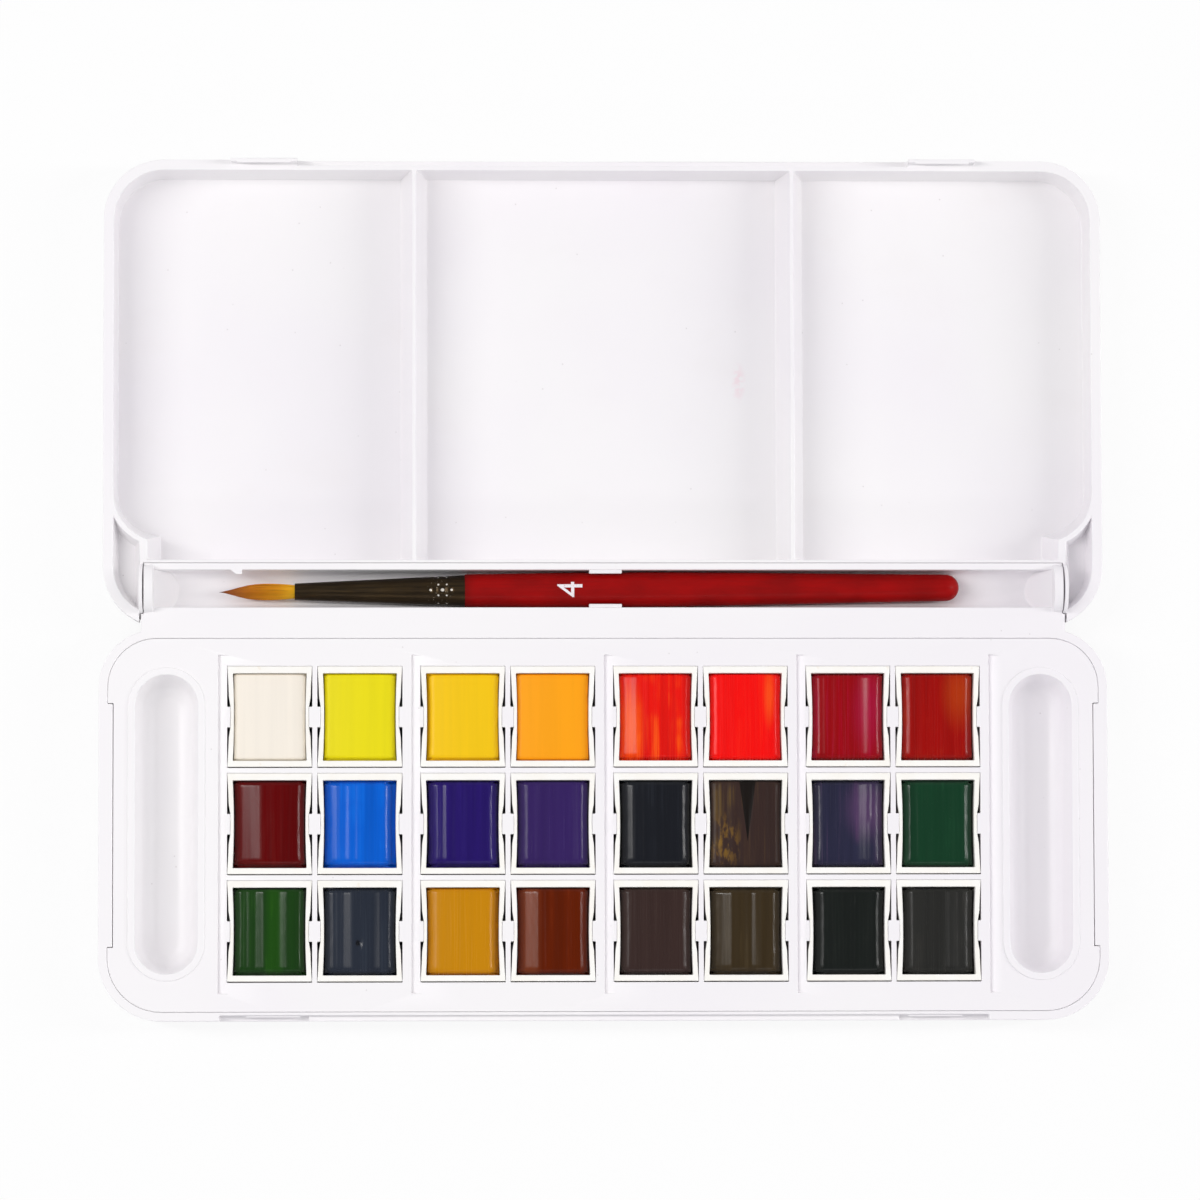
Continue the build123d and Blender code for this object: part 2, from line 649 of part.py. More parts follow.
def strand_faces(mouth, u, v):
    """The sides and tip of one three-sided strand. All strands narrow by the same shares, so none cross."""
    rings = []
    for along, width in TUFT_PROFILE:
        ring = Pos(u * width, v * width) * RegularPolygon(STRAND_R * width, STRAND_SIDES)
        rings.append(mouth.offset(along * HAIR_OUT) * ring)
    return loft(rings, ruled=True).faces().sort_by(Axis(mouth.origin, mouth.z_dir))[1:]


def brush_hair():
    """The tuft: strands that swell to a belly and draw to a point, on the slice that the ferrule grips."""
    centre = BRUSH_PLANE.from_local_coords(Vector(FERRULE_X, 0, 0))
    mouth = Plane(centre, x_dir=BRUSH_PLANE.y_dir, z_dir=-BRUSH_PLANE.x_dir)
    root_r = FERRULE_MOUTH_R - FERRULE_WALL - TENON_CLEAR
    with BuildPart() as root:
        with BuildSketch(mouth.offset(-ROOT_LONG)):
            Circle(root_r)
        extrude(amount=ROOT_LONG)
    with BuildSketch(mouth) as front:
        Circle(root_r)
        with Locations(*strand_places()):
            RegularPolygon(STRAND_R, STRAND_SIDES, mode=Mode.SUBTRACT)
    # The strands are sewn to the edges of their own holes in the slice's front face, which is exact and quick
    skin = [*front.sketch.faces(), *root.faces().sort_by(Axis(mouth.origin, mouth.z_dir))[:-1]]
    for u, v in strand_places():
        skin += strand_faces(mouth, u, v)
    finish(Solid(Shell(skin)), "brush_hair")


def main():
    os.makedirs("parts", exist_ok=True)
    base_shell()
    brush_clips()
    lid()
    pan_tray()
    for place in cell_places():
        half_pan(*place)
        paint(*place)
    brush_handle()
    brush_ferrule()
    brush_hair()


main()
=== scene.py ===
import math

import bmesh
import bpy
import numpy as np
from mathutils import Matrix, Vector


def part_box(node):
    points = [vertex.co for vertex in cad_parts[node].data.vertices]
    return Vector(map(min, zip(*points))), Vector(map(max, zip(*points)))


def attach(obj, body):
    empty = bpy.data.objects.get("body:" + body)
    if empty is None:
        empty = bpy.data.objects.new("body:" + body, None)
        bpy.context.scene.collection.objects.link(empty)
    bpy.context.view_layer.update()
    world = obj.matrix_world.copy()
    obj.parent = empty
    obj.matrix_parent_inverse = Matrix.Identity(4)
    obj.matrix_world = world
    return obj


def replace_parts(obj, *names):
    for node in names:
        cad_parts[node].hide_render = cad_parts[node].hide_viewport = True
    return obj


bl_info = {
    "name": "Watercolour Paint Set",
    "version": (1, 0, 0),
    "blender": (4, 5, 0),
    "location": "View3D > Sidebar > Paint Set",
    "description": "Dresses the open paint box, its half pans of paint and its brush",
    "category": "Object",
}

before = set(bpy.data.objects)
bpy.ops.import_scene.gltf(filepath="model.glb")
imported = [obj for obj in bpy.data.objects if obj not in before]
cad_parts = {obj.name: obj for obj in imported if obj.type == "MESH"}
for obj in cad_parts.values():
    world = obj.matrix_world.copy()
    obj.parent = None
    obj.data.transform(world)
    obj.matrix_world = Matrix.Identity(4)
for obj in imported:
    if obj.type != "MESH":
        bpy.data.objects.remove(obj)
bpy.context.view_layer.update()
MM = 0.001

# How near two places lie that count as the same, in millimetres
NEAR = 0.02

# Places read from the solids, in millimetres
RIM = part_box("base_shell")[1].z / MM - 4.4
FERRULE_LOW, FERRULE_HIGH = (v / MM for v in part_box("brush_ferrule"))
HAIR_LOW, HAIR_HIGH = (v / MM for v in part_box("brush_hair"))
HANDLE_LOW, HANDLE_HIGH = (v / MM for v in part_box("brush_handle"))
PLACES = sorted(name[6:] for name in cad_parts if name.startswith("paint_"))
BRUSH_Z = (FERRULE_LOW.z + FERRULE_HIGH.z) / 2
BRUSH_SKEW = math.radians(0.35)
PALETTE_FLOOR = 1.5

# The palette's outline at the rim: half its length, its rear wall, its corners' round, and where the
# corners beside the ears end
PALETTE_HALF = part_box("lid")[1].x / MM - 2.0
PALETTE_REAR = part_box("lid")[1].y / MM - 2.0
PALETTE_R = 9.5
PALETTE_TURN = 18.4

# Where the ear pockets begin, the outer faces of the trough's end walls, and the lid's back wall
POCKET_IN = 88.4
END_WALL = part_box("base_shell")[1].x / MM - 8.9
HINGE_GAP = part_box("base_shell")[1].y / MM + 0.15

# One line a cake: colour, colour of its streaks, how strong they are, roughness, how far it stands off
# the pan's left, right, rear and front walls, and the round of its long edges in millimetres
CAKES = {
    "11": ((247, 239, 226), (236, 224, 204), 0.12, 0.522, (0.05, 0.05, 0.05, 0.1), 0.7),
    "12": ((236, 222, 0), (222, 205, 0), 0.14, 0.399, (0.1, 0.2, 0.05, 0.25), 0.9),
    "13": ((247, 200, 0), (238, 184, 0), 0.14, 0.361, (0.45, 0.05, 0.1, 0.25), 1.0),
    "14": ((255, 165, 0), (252, 150, 0), 0.12, 0.38, (0.05, 0.05, 0.05, 0.05), 0.8),
    "15": ((236, 12, 0), (255, 92, 0), 0.8, 0.252, (0.05, 0.05, 0.1, 0.3), 1.3),
    "16": ((248, 2, 0), (255, 40, 0), 0.25, 0.237, (0.1, 0.05, 0.05, 0.1), 1.4),
    "17": ((156, 0, 12), (176, 0, 66), 0.6, 0.222, (0.1, 0.15, 0.1, 0.15), 1.6),
    "18": ((160, 6, 2), (178, 48, 0), 0.7, 0.222, (0.1, 0.15, 0.1, 0.15), 1.5),
    "21": ((98, 0, 2), (108, 26, 20), 0.5, 0.192, (0.1, 0.2, 0.15, 0.35), 1.7),
    "22": ((0, 94, 208), (0, 112, 226), 0.5, 0.178, (0.1, 0.75, 0.25, 0.3), 1.7),
    "23": ((40, 22, 106), (56, 36, 134), 0.6, 0.178, (0.3, 0.35, 0.15, 0.4), 1.7),
    "24": ((54, 34, 96), (62, 44, 108), 0.3, 0.2, (0.15, 0.1, 0.1, 0.3), 1.8),
    "25": ((28, 30, 36), (44, 48, 56), 0.5, 0.192, (0.3, 0.35, 0.15, 0.25), 1.8),
    "26": ((56, 38, 34), (96, 72, 30), 0.8, 0.342, (0.15, 0.1, 0.1, 0.15), 1.0),
    "27": ((44, 44, 68), (84, 56, 92), 0.6, 0.207, (0.15, 0.2, 0.25, 0.2), 1.7),
    "28": ((20, 60, 38), (26, 76, 46), 0.5, 0.192, (0.1, 0.3, 0.25, 0.15), 1.7),
    "31": ((28, 64, 22), (40, 92, 16), 0.5, 0.178, (0.1, 0.25, 0.1, 0.3), 1.5),
    "32": ((40, 46, 58), (52, 60, 72), 0.35, 0.222, (0.15, 0.15, 0.25, 0.2), 1.6),
    "33": ((200, 134, 0), (206, 142, 6), 0.16, 0.222, (0.1, 0.55, 0.1, 0.1), 1.6),
    "34": ((102, 30, 0), (126, 46, 8), 0.8, 0.178, (0.1, 0.3, 0.1, 0.15), 1.6),
    "35": ((58, 42, 39), (66, 50, 44), 0.3, 0.215, (0.15, 0.2, 0.15, 0.2), 1.7),
    "36": ((60, 48, 30), (76, 62, 38), 0.5, 0.148, (0.2, 0.3, 0.3, 0.3), 1.9),
    "37": ((27, 31, 29), (38, 42, 38), 0.4, 0.185, (0.45, 0.2, 0.3, 0.2), 1.7),
    "38": ((44, 44, 42), (60, 58, 54), 0.5, 0.207, (0.35, 0.3, 0.2, 0.2), 1.7),
}

# Stretches of a cake's top that lean to a side: from and to in millimetres from its middle, the degrees
# at both, where less than 0 is to the left, and how much of the lean is gone at the rear wall
SLOPES = {
    "15": ((-5.5, -3.6, -14, -10, 0.2),),
    "17": ((-6.0, -5.6, -15, -15, 0.3), (2.0, 5.0, -11, -10, -0.3)),
    "21": ((-5.8, -1.8, -16, -7, 0.35),),
    "22": ((-5.7, -4.4, -15, -10, 0.3), (-2.7, -2.2, -15, -15, 0.5), (-0.9, -0.5, -14, -14, 0.5)),
    "23": ((-5.9, -4.5, -16, -11, 0.4), (-3.7, -3.2, -17, -15, 0.4)),
    "24": ((-5.7, -5.2, -16, -15, 0.2), (3.6, 5.0, -11, -10, 0.2)),
    "25": ((-5.8, -4.3, -13, -9, 0.2),),
    "27": ((1.6, 4.6, -10, -12, -0.4),),
    "28": ((-5.9, -5.5, -16, -15, 0.1),),
    "31": ((-2.3, -1.1, -19, -13, 0.1), (-0.9, 0.8, 5, 5, 0.0), (2.0, 3.4, -14, -10, 0.0)),
    "32": ((-3.0, -1.6, -13, -10, 0.2), (2.8, 4.0, -12, -10, 0.2)),
    "33": ((-5.7, -5.2, -16, -15, 0.1),),
    "34": ((-5.9, -2.6, -16, -8, -0.1), (3.2, 3.6, -17, -16, 0.2)),
    "35": ((-5.9, -5.4, -15, -14, 0.2),),
    "36": ((-5.0, -2.8, -19, -11, 0.15), (-2.4, 0.8, 7, 7, 0.1), (1.2, 2.9, -19, -11, 0.15)),
    "37": ((-5.8, -5.2, -17, -15, 0.2),),
    "38": ((-5.5, -4.9, -17, -14, 0.2), (1.2, 4.4, -11, -11, 0.1)),
}

# Spots of another colour, among them a painted highlight on cake 16 and painted shade in cake 32's pit: the
# colour, how strong it is, and the spot's middle, half sizes and softness
SPOTS_AND_PAINTED_LIGHT = {
    "15": ((255, 110, 0), 0.55, (-4.6, -2.5, 1.7, 6.0, 0.9)),
    # Cake 16's orange spot is a painted highlight at its upper right
    "16": ((255, 96, 20), 0.6, (4.6, 4.2, 0.8, 4.2, 0.9)),
    "17": ((168, 16, 66), 0.55, (4.0, 1.2, 2.5, 6.5, 0.7)),
    "18": ((186, 66, 8), 0.6, (4.2, 4.4, 2.4, 4.6, 0.9)),
    "27": ((98, 66, 108), 0.6, (3.4, 2.8, 3.0, 4.4, 0.8)),
    # Cake 32's near-black spot is painted shade in its pit
    "32": ((10, 11, 16), 0.9, (-0.4, -2.2, 0.4, 0.55, 0.4)),
}

# Bands of another colour along a cake, and on cake 34 a painted highlight: the colour, how strong it is, and
# its middle, half width and softness
BANDS_AND_PAINTED_HIGHLIGHT = {
    "31": ((38, 96, 8), 0.3, (0.9, 1.3, 0.8)),
    # Cake 34's lighter band is a painted highlight over its left side
    "34": ((136, 72, 40), 0.4, (-4.3, 1.5, 0.9)),
}


def linear(rgb, alpha=1.0):
    """Screen values from 0 to 255 as the linear colour that a shader takes."""
    shares = [v / 255 for v in rgb]
    return (*(v / 12.92 if v <= 0.04045 else ((v + 0.055) / 1.055) ** 2.4 for v in shares), alpha)


def tinted(colour, red=1.0, green=1.0, blue=1.0):
    """A linear colour as a shader takes it, with its channels made weaker or stronger."""
    return (colour[0] * red, colour[1] * green, colour[2] * blue, 1)


def settings():
    """The sizes and colours that the panel shows."""
    return bpy.context.scene.paint_set


# Shader writing


class Wire:
    """A socket of a shader tree. Arithmetic on it adds Math nodes."""

    def __init__(self, finish, socket):
        self.finish = finish
        self.socket = socket

    def math(self, operation, *others, clamp=False):
        wires = dict(enumerate((self, *others)))
        return self.finish.add("ShaderNodeMath", {"operation": operation, "use_clamp": clamp}, wires)

    def __add__(self, other):
        return self.math("ADD", other)

    def __sub__(self, other):
        return self.math("SUBTRACT", other)

    def __rsub__(self, other):
        return self.finish.add("ShaderNodeMath", {"operation": "SUBTRACT"}, {0: other, 1: self})

    def __mul__(self, other):
        return self.math("MULTIPLY", other)

    def __truediv__(self, other):
        return self.math("DIVIDE", other)

    __radd__ = __add__
    __rmul__ = __mul__

    def between(self, low, high):
        """0 below low, 1 above high, and a smooth step between them."""
        spans = {"Value": self, "From Min": low, "From Max": high}
        return self.finish.add("ShaderNodeMapRange", {"interpolation_type": "SMOOTHSTEP"}, spans)


class Finish:
    """One procedural material, or the world, while its nodes are written."""

    def __init__(self, name, store=None):
        self.material = (bpy.data.materials if store is None else store).new(name)
        self.material.use_nodes = True
        self.tree = self.material.node_tree
        self.tree.nodes.clear()

    def add(self, kind, choices=None, sockets=None, out=0):
        """Any node: its choices are set first, then each socket gets its value or its link."""
        node = self.tree.nodes.new(kind)
        for key, value in (choices or {}).items():
            if key == "stops":
                self.set_stops(node.color_ramp, value)
            else:
                setattr(node, key, value)
        for key, value in (sockets or {}).items():
            if isinstance(value, Wire):
                self.tree.links.new(value.socket, node.inputs[key])
            else:
                node.inputs[key].default_value = value
        return Wire(self, node.outputs[out]) if len(node.outputs) else None

    def set_stops(self, ramp, stops):
        for place, _ in stops[2:]:
            ramp.elements.new(place)
        for element, (place, colour) in zip(ramp.elements, stops):
            element.position = place
            element.color = colour

    def place(self, scale=(1, 1, 1), shift=(0, 0, 0)):
        """Object coordinates in millimetres, stretched by scale and moved by shift."""
        found = self.add("ShaderNodeTexCoord", out="Object")
        factors = tuple(s / MM for s in scale)
        return self.add("ShaderNodeMapping", None, {"Vector": found, "Scale": factors, "Location": shift})

    def axes(self):
        """X, Y and Z of a point of the object, in millimetres."""
        split = self.add("ShaderNodeSeparateXYZ", None, {0: self.place()})
        return [Wire(self, split.socket.node.outputs[n]) for n in range(3)]

    def noise(self, scale, detail=3.0, stretch=(1, 1, 1), shift=(0, 0, 0), rough=0.5):
        sockets = {"Vector": self.place(stretch, shift), "Scale": scale, "Detail": detail, "Roughness": rough}
        return self.add("ShaderNodeTexNoise", None, sockets)

    def mix(self, share, first, second):
        """First colour where share is 0 and second where it is 1."""
        return self.add("ShaderNodeMix", {"data_type": "RGBA"}, {0: share, 6: first, 7: second}, out=2)

    def bump(self, height, distance, strength=1.0, normal=None):
        sockets = {"Height": height, "Distance": distance * MM, "Strength": strength}
        if normal:
            sockets["Normal"] = normal
        return self.add("ShaderNodeBump", None, sockets)

    def done(self, sockets):
        shader = self.add("ShaderNodeBsdfPrincipled", None, sockets)
        self.add("ShaderNodeOutputMaterial", None, {"Surface": shader})
        return self.material


def moulded_plastic():
    """Cool white moulded plastic with a faint waviness, handling marks and a trace of old washes of paint."""
    f = Finish("moulded_white_plastic")
    colour = settings().plastic_colour
    x, y, z = f.axes()
    cloud = f.noise(0.018, 2.0)
    grain = f.noise(2.2, 4.0)
    cool = f.mix(cloud.between(0.35, 0.68), tinted(colour), tinted(colour, 0.975, 0.965, 0.985))
    # The palette floors keep a faint stain from washed-out paint
    on_floor = 1 - z.between(PALETTE_FLOOR + 0.15, PALETTE_FLOOR + 1.2)
    on_floor = on_floor * y.between(8.0, 11.0)
    off_x, off_y = x - 26.4, y - 40.6
    blot = (off_x * off_x / 1.8 + off_y * off_y / 13.0).math("SQRT")
    blot = (1 - blot.between(0.2, 1.3)) * f.noise(0.9, 3.0, shift=(3, 1, 0)).between(0.38, 0.62)
    wash = f.noise(0.05, 4.0, stretch=(1, 1.4, 1), shift=(7, 2, 0)).between(0.52, 0.8)
    stained = f.mix(blot * on_floor * 0.16, cool, linear((246, 130, 170)))
    stained = f.mix(wash * on_floor * 0.05, stained, linear((214, 200, 190)))
    specks = f.add("ShaderNodeTexVoronoi", {"feature": "F1"}, {"Vector": f.place(), "Scale": 0.23})
    speck = 1 - specks.between(0.012, 0.05)
    stained = f.mix(speck * 0.35, stained, linear((176, 168, 168)))
    # Fine scuffs, longest along the box
    scuff = f.noise(0.8, 5.0, stretch=(0.12, 1.6, 1), shift=(1, 5, 2), rough=0.6).between(0.56, 0.74)
    rough = 0.33 + cloud * 0.08 + scuff * 0.14 + speck * 0.1
    skin = f.bump(f.noise(0.11, 2.0, shift=(4, 4, 4)), 0.07, 0.5)
    skin = f.bump(grain * 0.6 + scuff * 0.4, 0.006, 0.7, skin)
    return f.done({"Base Color": stained, "Roughness": rough, "Normal": skin, "IOR": 1.5})


def pan_plastic():
    """Warm white of the half pans, with smears of paint, and painted shade that makes them darker and warmer
    deeper below the rim.
    """
    f = Finish("warm_white_pan_plastic")
    colour = settings().pan_colour
    _, _, z = f.axes()
    cloud = f.noise(0.22, 3.0)
    warm = f.mix(cloud.between(0.3, 0.7), tinted(colour), tinted(colour, 0.985, 0.97, 0.94))
    smear = f.noise(0.75, 4.0, stretch=(1, 0.7, 1), shift=(9, 3, 1)).between(0.64, 0.78)
    warm = f.mix(smear * 0.16, warm, linear((222, 186, 120)))
    # Painted shade: the pans grow darker and warmer deeper below the rim
    deep = 1 - z.between(RIM - 5.5, RIM - 1.2)
    warm = f.mix(deep * 0.3, warm, linear((216, 200, 176)))
    rough = 0.42 + cloud * 0.1 + smear * 0.12
    skin = f.bump(f.noise(1.1, 4.0), 0.02, 0.7)
    return f.done({"Base Color": warm, "Roughness": rough, "Normal": skin, "IOR": 1.49})


def cake_finish(place, centre):
    """Dried paint: streaks drawn out along the pan, a skin of fine grooves and a soft gloss."""
    colour, streak_colour, strength, rough, _, _ = CAKES[place]
    f = Finish(f"paint_cake_{place}")
    shift = (int(place) * 3.7, int(place) * 1.9, 0)
    x, y, _ = f.axes()
    wide = f.noise(0.6, 3.0, stretch=(1, 0.03, 0.1), shift=shift, rough=0.55)
    fine = f.noise(3.2, 4.0, stretch=(1, 0.02, 0.1), shift=shift, rough=0.6)
    patch = f.noise(0.13, 2.0, shift=shift)
    base, streak = linear(colour), linear(streak_colour)
    deeper = (*(v * (1 - 0.3 * min(strength, 0.7)) for v in base[:3]), 1)
    body = f.mix(wide.between(0.3, 0.62), deeper, base)
    share = (wide * 0.6 + fine * 0.4).between(0.48, 0.66) * patch.between(0.4, 0.62) * strength
    body = f.mix(share, body, streak)
    marked = cake_marks(f, place, x - centre.x, y - centre.y, body)
    dust = f.noise(4.5, 3.0, shift=shift).between(0.66, 0.8)
    marked = f.mix(dust * 0.12, marked, (*(v * 0.7 + 0.02 for v in base[:3]), 1))
    gloss = rough + fine.between(0.42, 0.66) * 0.06 + dust * 0.1 + patch * 0.03
    skin = f.bump(fine * 0.5 + wide * 0.5, 0.004 + 0.006 * min(strength, 0.7), 0.6)
    skin = f.bump(f.noise(1.6, 3.0, shift=shift), 0.006, 0.5, skin)
    return f.done({"Base Color": marked, "Roughness": gloss, "Normal": skin, "Specular IOR Level": 0.26})


def cake_marks(f, place, u, v, body):
    """Marks that only some cakes have, at u and v millimetres from the cake's middle, with painted highlights
    and painted shade among them.
    """

    def spot(u0, v0, half_u, half_v, soft):
        off_u, off_v = u - u0, v - v0
        reach = (off_u * off_u / half_u**2 + off_v * off_v / half_v**2).math("SQRT")
        return 1 - reach.between(1 - soft, 1 + soft)

    def band(u0, half, soft):
        return 1 - (u - u0).math("ABSOLUTE").between(half - soft, half + soft)

    for marks, mask in ((SPOTS_AND_PAINTED_LIGHT, spot), (BANDS_AND_PAINTED_HIGHLIGHT, band)):
        if place in marks:
            colour, strength, form = marks[place]
            body = f.mix(mask(*form) * strength, body, linear(colour))
    if place == "26":
        # Painted shade: the notch in this cake is painted near black
        notch = (u - 0.4).math("ABSOLUTE") - (v + 3.4) * 0.135
        inside = (1 - notch.between(-0.08, 0.08)) * v.between(-3.4, -3.2)
        body = f.mix(inside * 0.97, body, linear((16, 9, 6)))
        ragged = f.noise(0.8, 4.0, stretch=(1, 0.3, 0.2), shift=(2, 6, 0), rough=0.6).between(0.46, 0.58)
        body = f.mix(spot(-4.0, -3.4, 2.2, 3.8, 0.9) * ragged * 0.7, body, linear((142, 104, 28)))
    return body


def red_lacquer():
    """Deep red lacquer over turned wood: a trace of grain, brush-out clouds and a glossy coat."""
    f = Finish("deep_red_lacquer")
    colour = settings().lacquer_colour
    x, _, _ = f.axes()
    grain = f.noise(2.4, 4.0, stretch=(0.05, 1, 1), rough=0.6)
    cloud = f.noise(0.16, 3.0, stretch=(0.6, 1, 1))
    red = f.mix(cloud.between(0.32, 0.68), tinted(colour), tinted(colour, 0.72, 0.0, 0.0))
    red = f.mix(grain.between(0.5, 0.75) * 0.3, red, tinted(colour, 0.5, 0.0, 0.0))
    # The lacquer is darker and browner next to the ferrule's lip, and rubbed at the round end
    lip = 1 - x.between(HANDLE_LOW.x + 14.0, HANDLE_LOW.x + 16.5)
    red = f.mix(lip * 0.45, red, linear((92, 4, 2)))
    rubbed = x.between(HANDLE_HIGH.x - 3.0, HANDLE_HIGH.x) * f.noise(0.8, 3.0).between(0.45, 0.62)
    red = f.mix(rubbed * 0.3, red, linear((186, 30, 16)))
    rough = 0.42 + cloud * 0.1 + rubbed * 0.15
    skin = f.bump(grain, 0.02, 0.5)
    skin = f.bump(f.noise(0.5, 2.0, stretch=(0.4, 1, 1)), 0.05, 0.4, skin)
    sockets = {"Base Color": red, "Roughness": rough, "Normal": skin, "Coat Weight": 0.03 + cloud * 0.05}
    return f.done({**sockets, "Coat Roughness": 0.12, "Specular IOR Level": 0.12})


def white_print():
    """White ink of the size number, a little worn."""
    f = Finish("white_print")
    worn = f.noise(2.6, 4.0).between(0.52, 0.76)
    ink = f.mix(worn * 0.4, linear((243, 236, 240)), linear((205, 120, 125)))
    return f.done({"Base Color": ink, "Roughness": 0.42 + worn * 0.2, "Normal": f.bump(worn, 0.01, 0.5)})


def ferrule_metal():
    """Dark plated metal, drawn lengthwise, brighter where the crimps have rubbed through, with painted
    highlights on the punch marks.
    """
    f = Finish("dark_plated_ferrule")
    colour = settings().ferrule_colour
    x, _, _ = f.axes()
    drawn = f.noise(2.6, 4.0, stretch=(0.04, 1, 1), rough=0.6)
    cloud = f.noise(0.3, 3.0)
    metal = f.mix(drawn.between(0.35, 0.7), tinted(colour), tinted(colour, 1.7, 1.6, 1.3))
    metal = f.mix(cloud.between(0.45, 0.75) * 0.4, metal, linear((70, 56, 36)))
    crimped = x.between(FERRULE_HIGH.x - 7.6, FERRULE_HIGH.x - 6.4)
    crimped = crimped * (1 - x.between(FERRULE_HIGH.x - 3.2, FERRULE_HIGH.x - 2.0))
    rubbed = crimped * f.noise(2.6, 3.0).between(0.6, 0.74)
    metal = f.mix(rubbed * 0.55, metal, linear((176, 166, 148)))
    # Painted highlight: the punch marks are painted near white and less metallic, standing in for their
    # glints
    punched = f.add("ShaderNodeAttribute", {"attribute_name": "punched"}, out="Fac").between(0.3, 0.75)
    metal = f.mix(punched, metal, linear((238, 232, 222)))
    skin = f.bump(drawn, 0.014, 0.7)
    rough = 0.26 + drawn * 0.14 + cloud * 0.08
    bare = 0.88 + cloud * 0.1 - punched * 0.6
    return f.done({"Base Color": metal, "Roughness": rough, "Metallic": bare, "Normal": skin})


def bristle_finish():
    """Amber hair that goes from golden at the ferrule to dark brown at the tip."""
    f = Finish("amber_bristles")
    x, _, _ = f.axes()
    wander = f.noise(3.4, 2.0, stretch=(0.06, 1, 1))
    along = (x - HAIR_LOW.x) / (FERRULE_LOW.x - HAIR_LOW.x) + (wander - 0.5) * 0.12
    s = settings()
    stops = [
        (0.0, linear((84, 38, 0))),
        (1.0, tinted(s.root_colour)),
        (0.16, tinted(s.tip_colour)),
        (0.5, tinted(s.belly_colour)),
        (0.8, linear((240, 168, 10))),
    ]
    stops = [stops[0], *sorted(stops[1:])]
    hair = f.add("ShaderNodeValToRGB", {"stops": stops}, {"Fac": along})
    hair = f.mix(wander.between(0.52, 0.72) * 0.32, hair, linear((128, 66, 0)))
    rough = 0.36 + wander * 0.16
    return f.done({"Base Color": hair, "Roughness": rough, "IOR": 1.5})


# Mesh writing


def put(name, data):
    """A new object in the scene, of a mesh, a text, a lamp or a camera."""
    made = bpy.data.objects.new(name, data)
    bpy.context.scene.collection.objects.link(made)
    return made


def closed_mesh(bm, name):
    """A mesh whose faces look outwards, smooth but for its edges over 50 degrees."""
    bmesh.ops.recalc_face_normals(bm, faces=bm.faces)
    mesh = bpy.data.meshes.new(name)
    bm.to_mesh(mesh)
    bm.free()
    mesh.shade_smooth()
    mesh.set_sharp_from_angle(angle=math.radians(50))
    return mesh


def new_piece(name, mesh, body, material):
    """Put a finished mesh into the scene as a piece that rides on a body."""
    mesh.name = name
    piece = put(name, mesh)
    mesh.materials.clear()
    mesh.materials.append(material)
    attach(piece, body)
    return piece


def baked(piece):
    """The evaluated mesh of an object, with its modifiers gone."""
    bpy.context.view_layer.update()
    graph = bpy.context.evaluated_depsgraph_get()
    seen = piece.evaluated_get(graph)
    mesh = bpy.data.meshes.new_from_object(seen, preserve_all_data_layers=True, depsgraph=graph)
    bpy.data.objects.remove(piece)
    if not mesh.polygons:
        raise RuntimeError(f"{mesh.name} came out empty")
    return mesh


def softened(node, edge, cuts=(), turn=28, reshape=None):
    """A merged copy of a solid's mesh whose edges are rounded as a mould leaves them.

    edge is the round in millimetres, and turn the least angle in degrees of an edge that gets it.
    cuts are planes, each an axis and a place on it, that divide the flat faces through their holes.
    reshape may move points first, and gives the edges whose round differs, in millimetres.
    """
    bm = bmesh.new()
    bm.from_mesh(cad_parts[node].data)
    bmesh.ops.remove_doubles(bm, verts=bm.verts, dist=0.002 * MM)
    for e in bm.edges:
        e.seam = False
    for axis, at in cuts:
        normal = Vector([float(n == axis) for n in range(3)])
        plane = {"plane_co": normal * at * MM, "plane_no": normal}
        cut = bmesh.ops.bisect_plane(bm, geom=[*bm.verts, *bm.edges, *bm.faces], dist=1e-7, **plane)
        for e in cut["geom_cut"]:
            if isinstance(e, bmesh.types.BMEdge):
                e.seam = True
    bmesh.ops.dissolve_limit(
        bm, angle_limit=math.radians(0.5), verts=bm.verts, edges=bm.edges, delimit={"SEAM"}
    )
    own = reshape(bm) if reshape else {}
    bm.normal_update()
    weights = bm.edges.layers.float.new("bevel_weight_edge")
    most = max([edge, *own.values()])
    sharp = {e for e in bm.edges if e.is_manifold and e.calc_face_angle(0) > math.radians(turn)}
    for e in sharp:
        tight = False
        for v in e.verts:
            meeting = [o for o in v.link_edges if o in sharp]
            tight = tight or (len(meeting) > 2 and min(o.calc_length() for o in meeting) < 2.2 * edge * MM)
        if e in own or not tight:
            e[weights] = own.get(e, edge) / most
    mesh = bpy.data.meshes.new(f"{node}_soft")
    bm.to_mesh(mesh)
    bm.free()
    for stale in ("custom_normal", "sharp_edge", "sharp_face"):
        if stale in mesh.attributes:
            mesh.attributes.remove(mesh.attributes[stale])
    mesh.shade_smooth()
    mesh.set_sharp_from_angle(angle=math.radians(turn))
    work = put(f"{node}_work", mesh)
    bevel = work.modifiers.new("rounding", "BEVEL")
    bevel.limit_method = "WEIGHT"
    bevel.width = most * MM
    bevel.segments = 3
    bevel.use_clamp_overlap = False
    bevel.miter_outer = "MITER_ARC"
    bevel.harden_normals = True
    return baked(work)


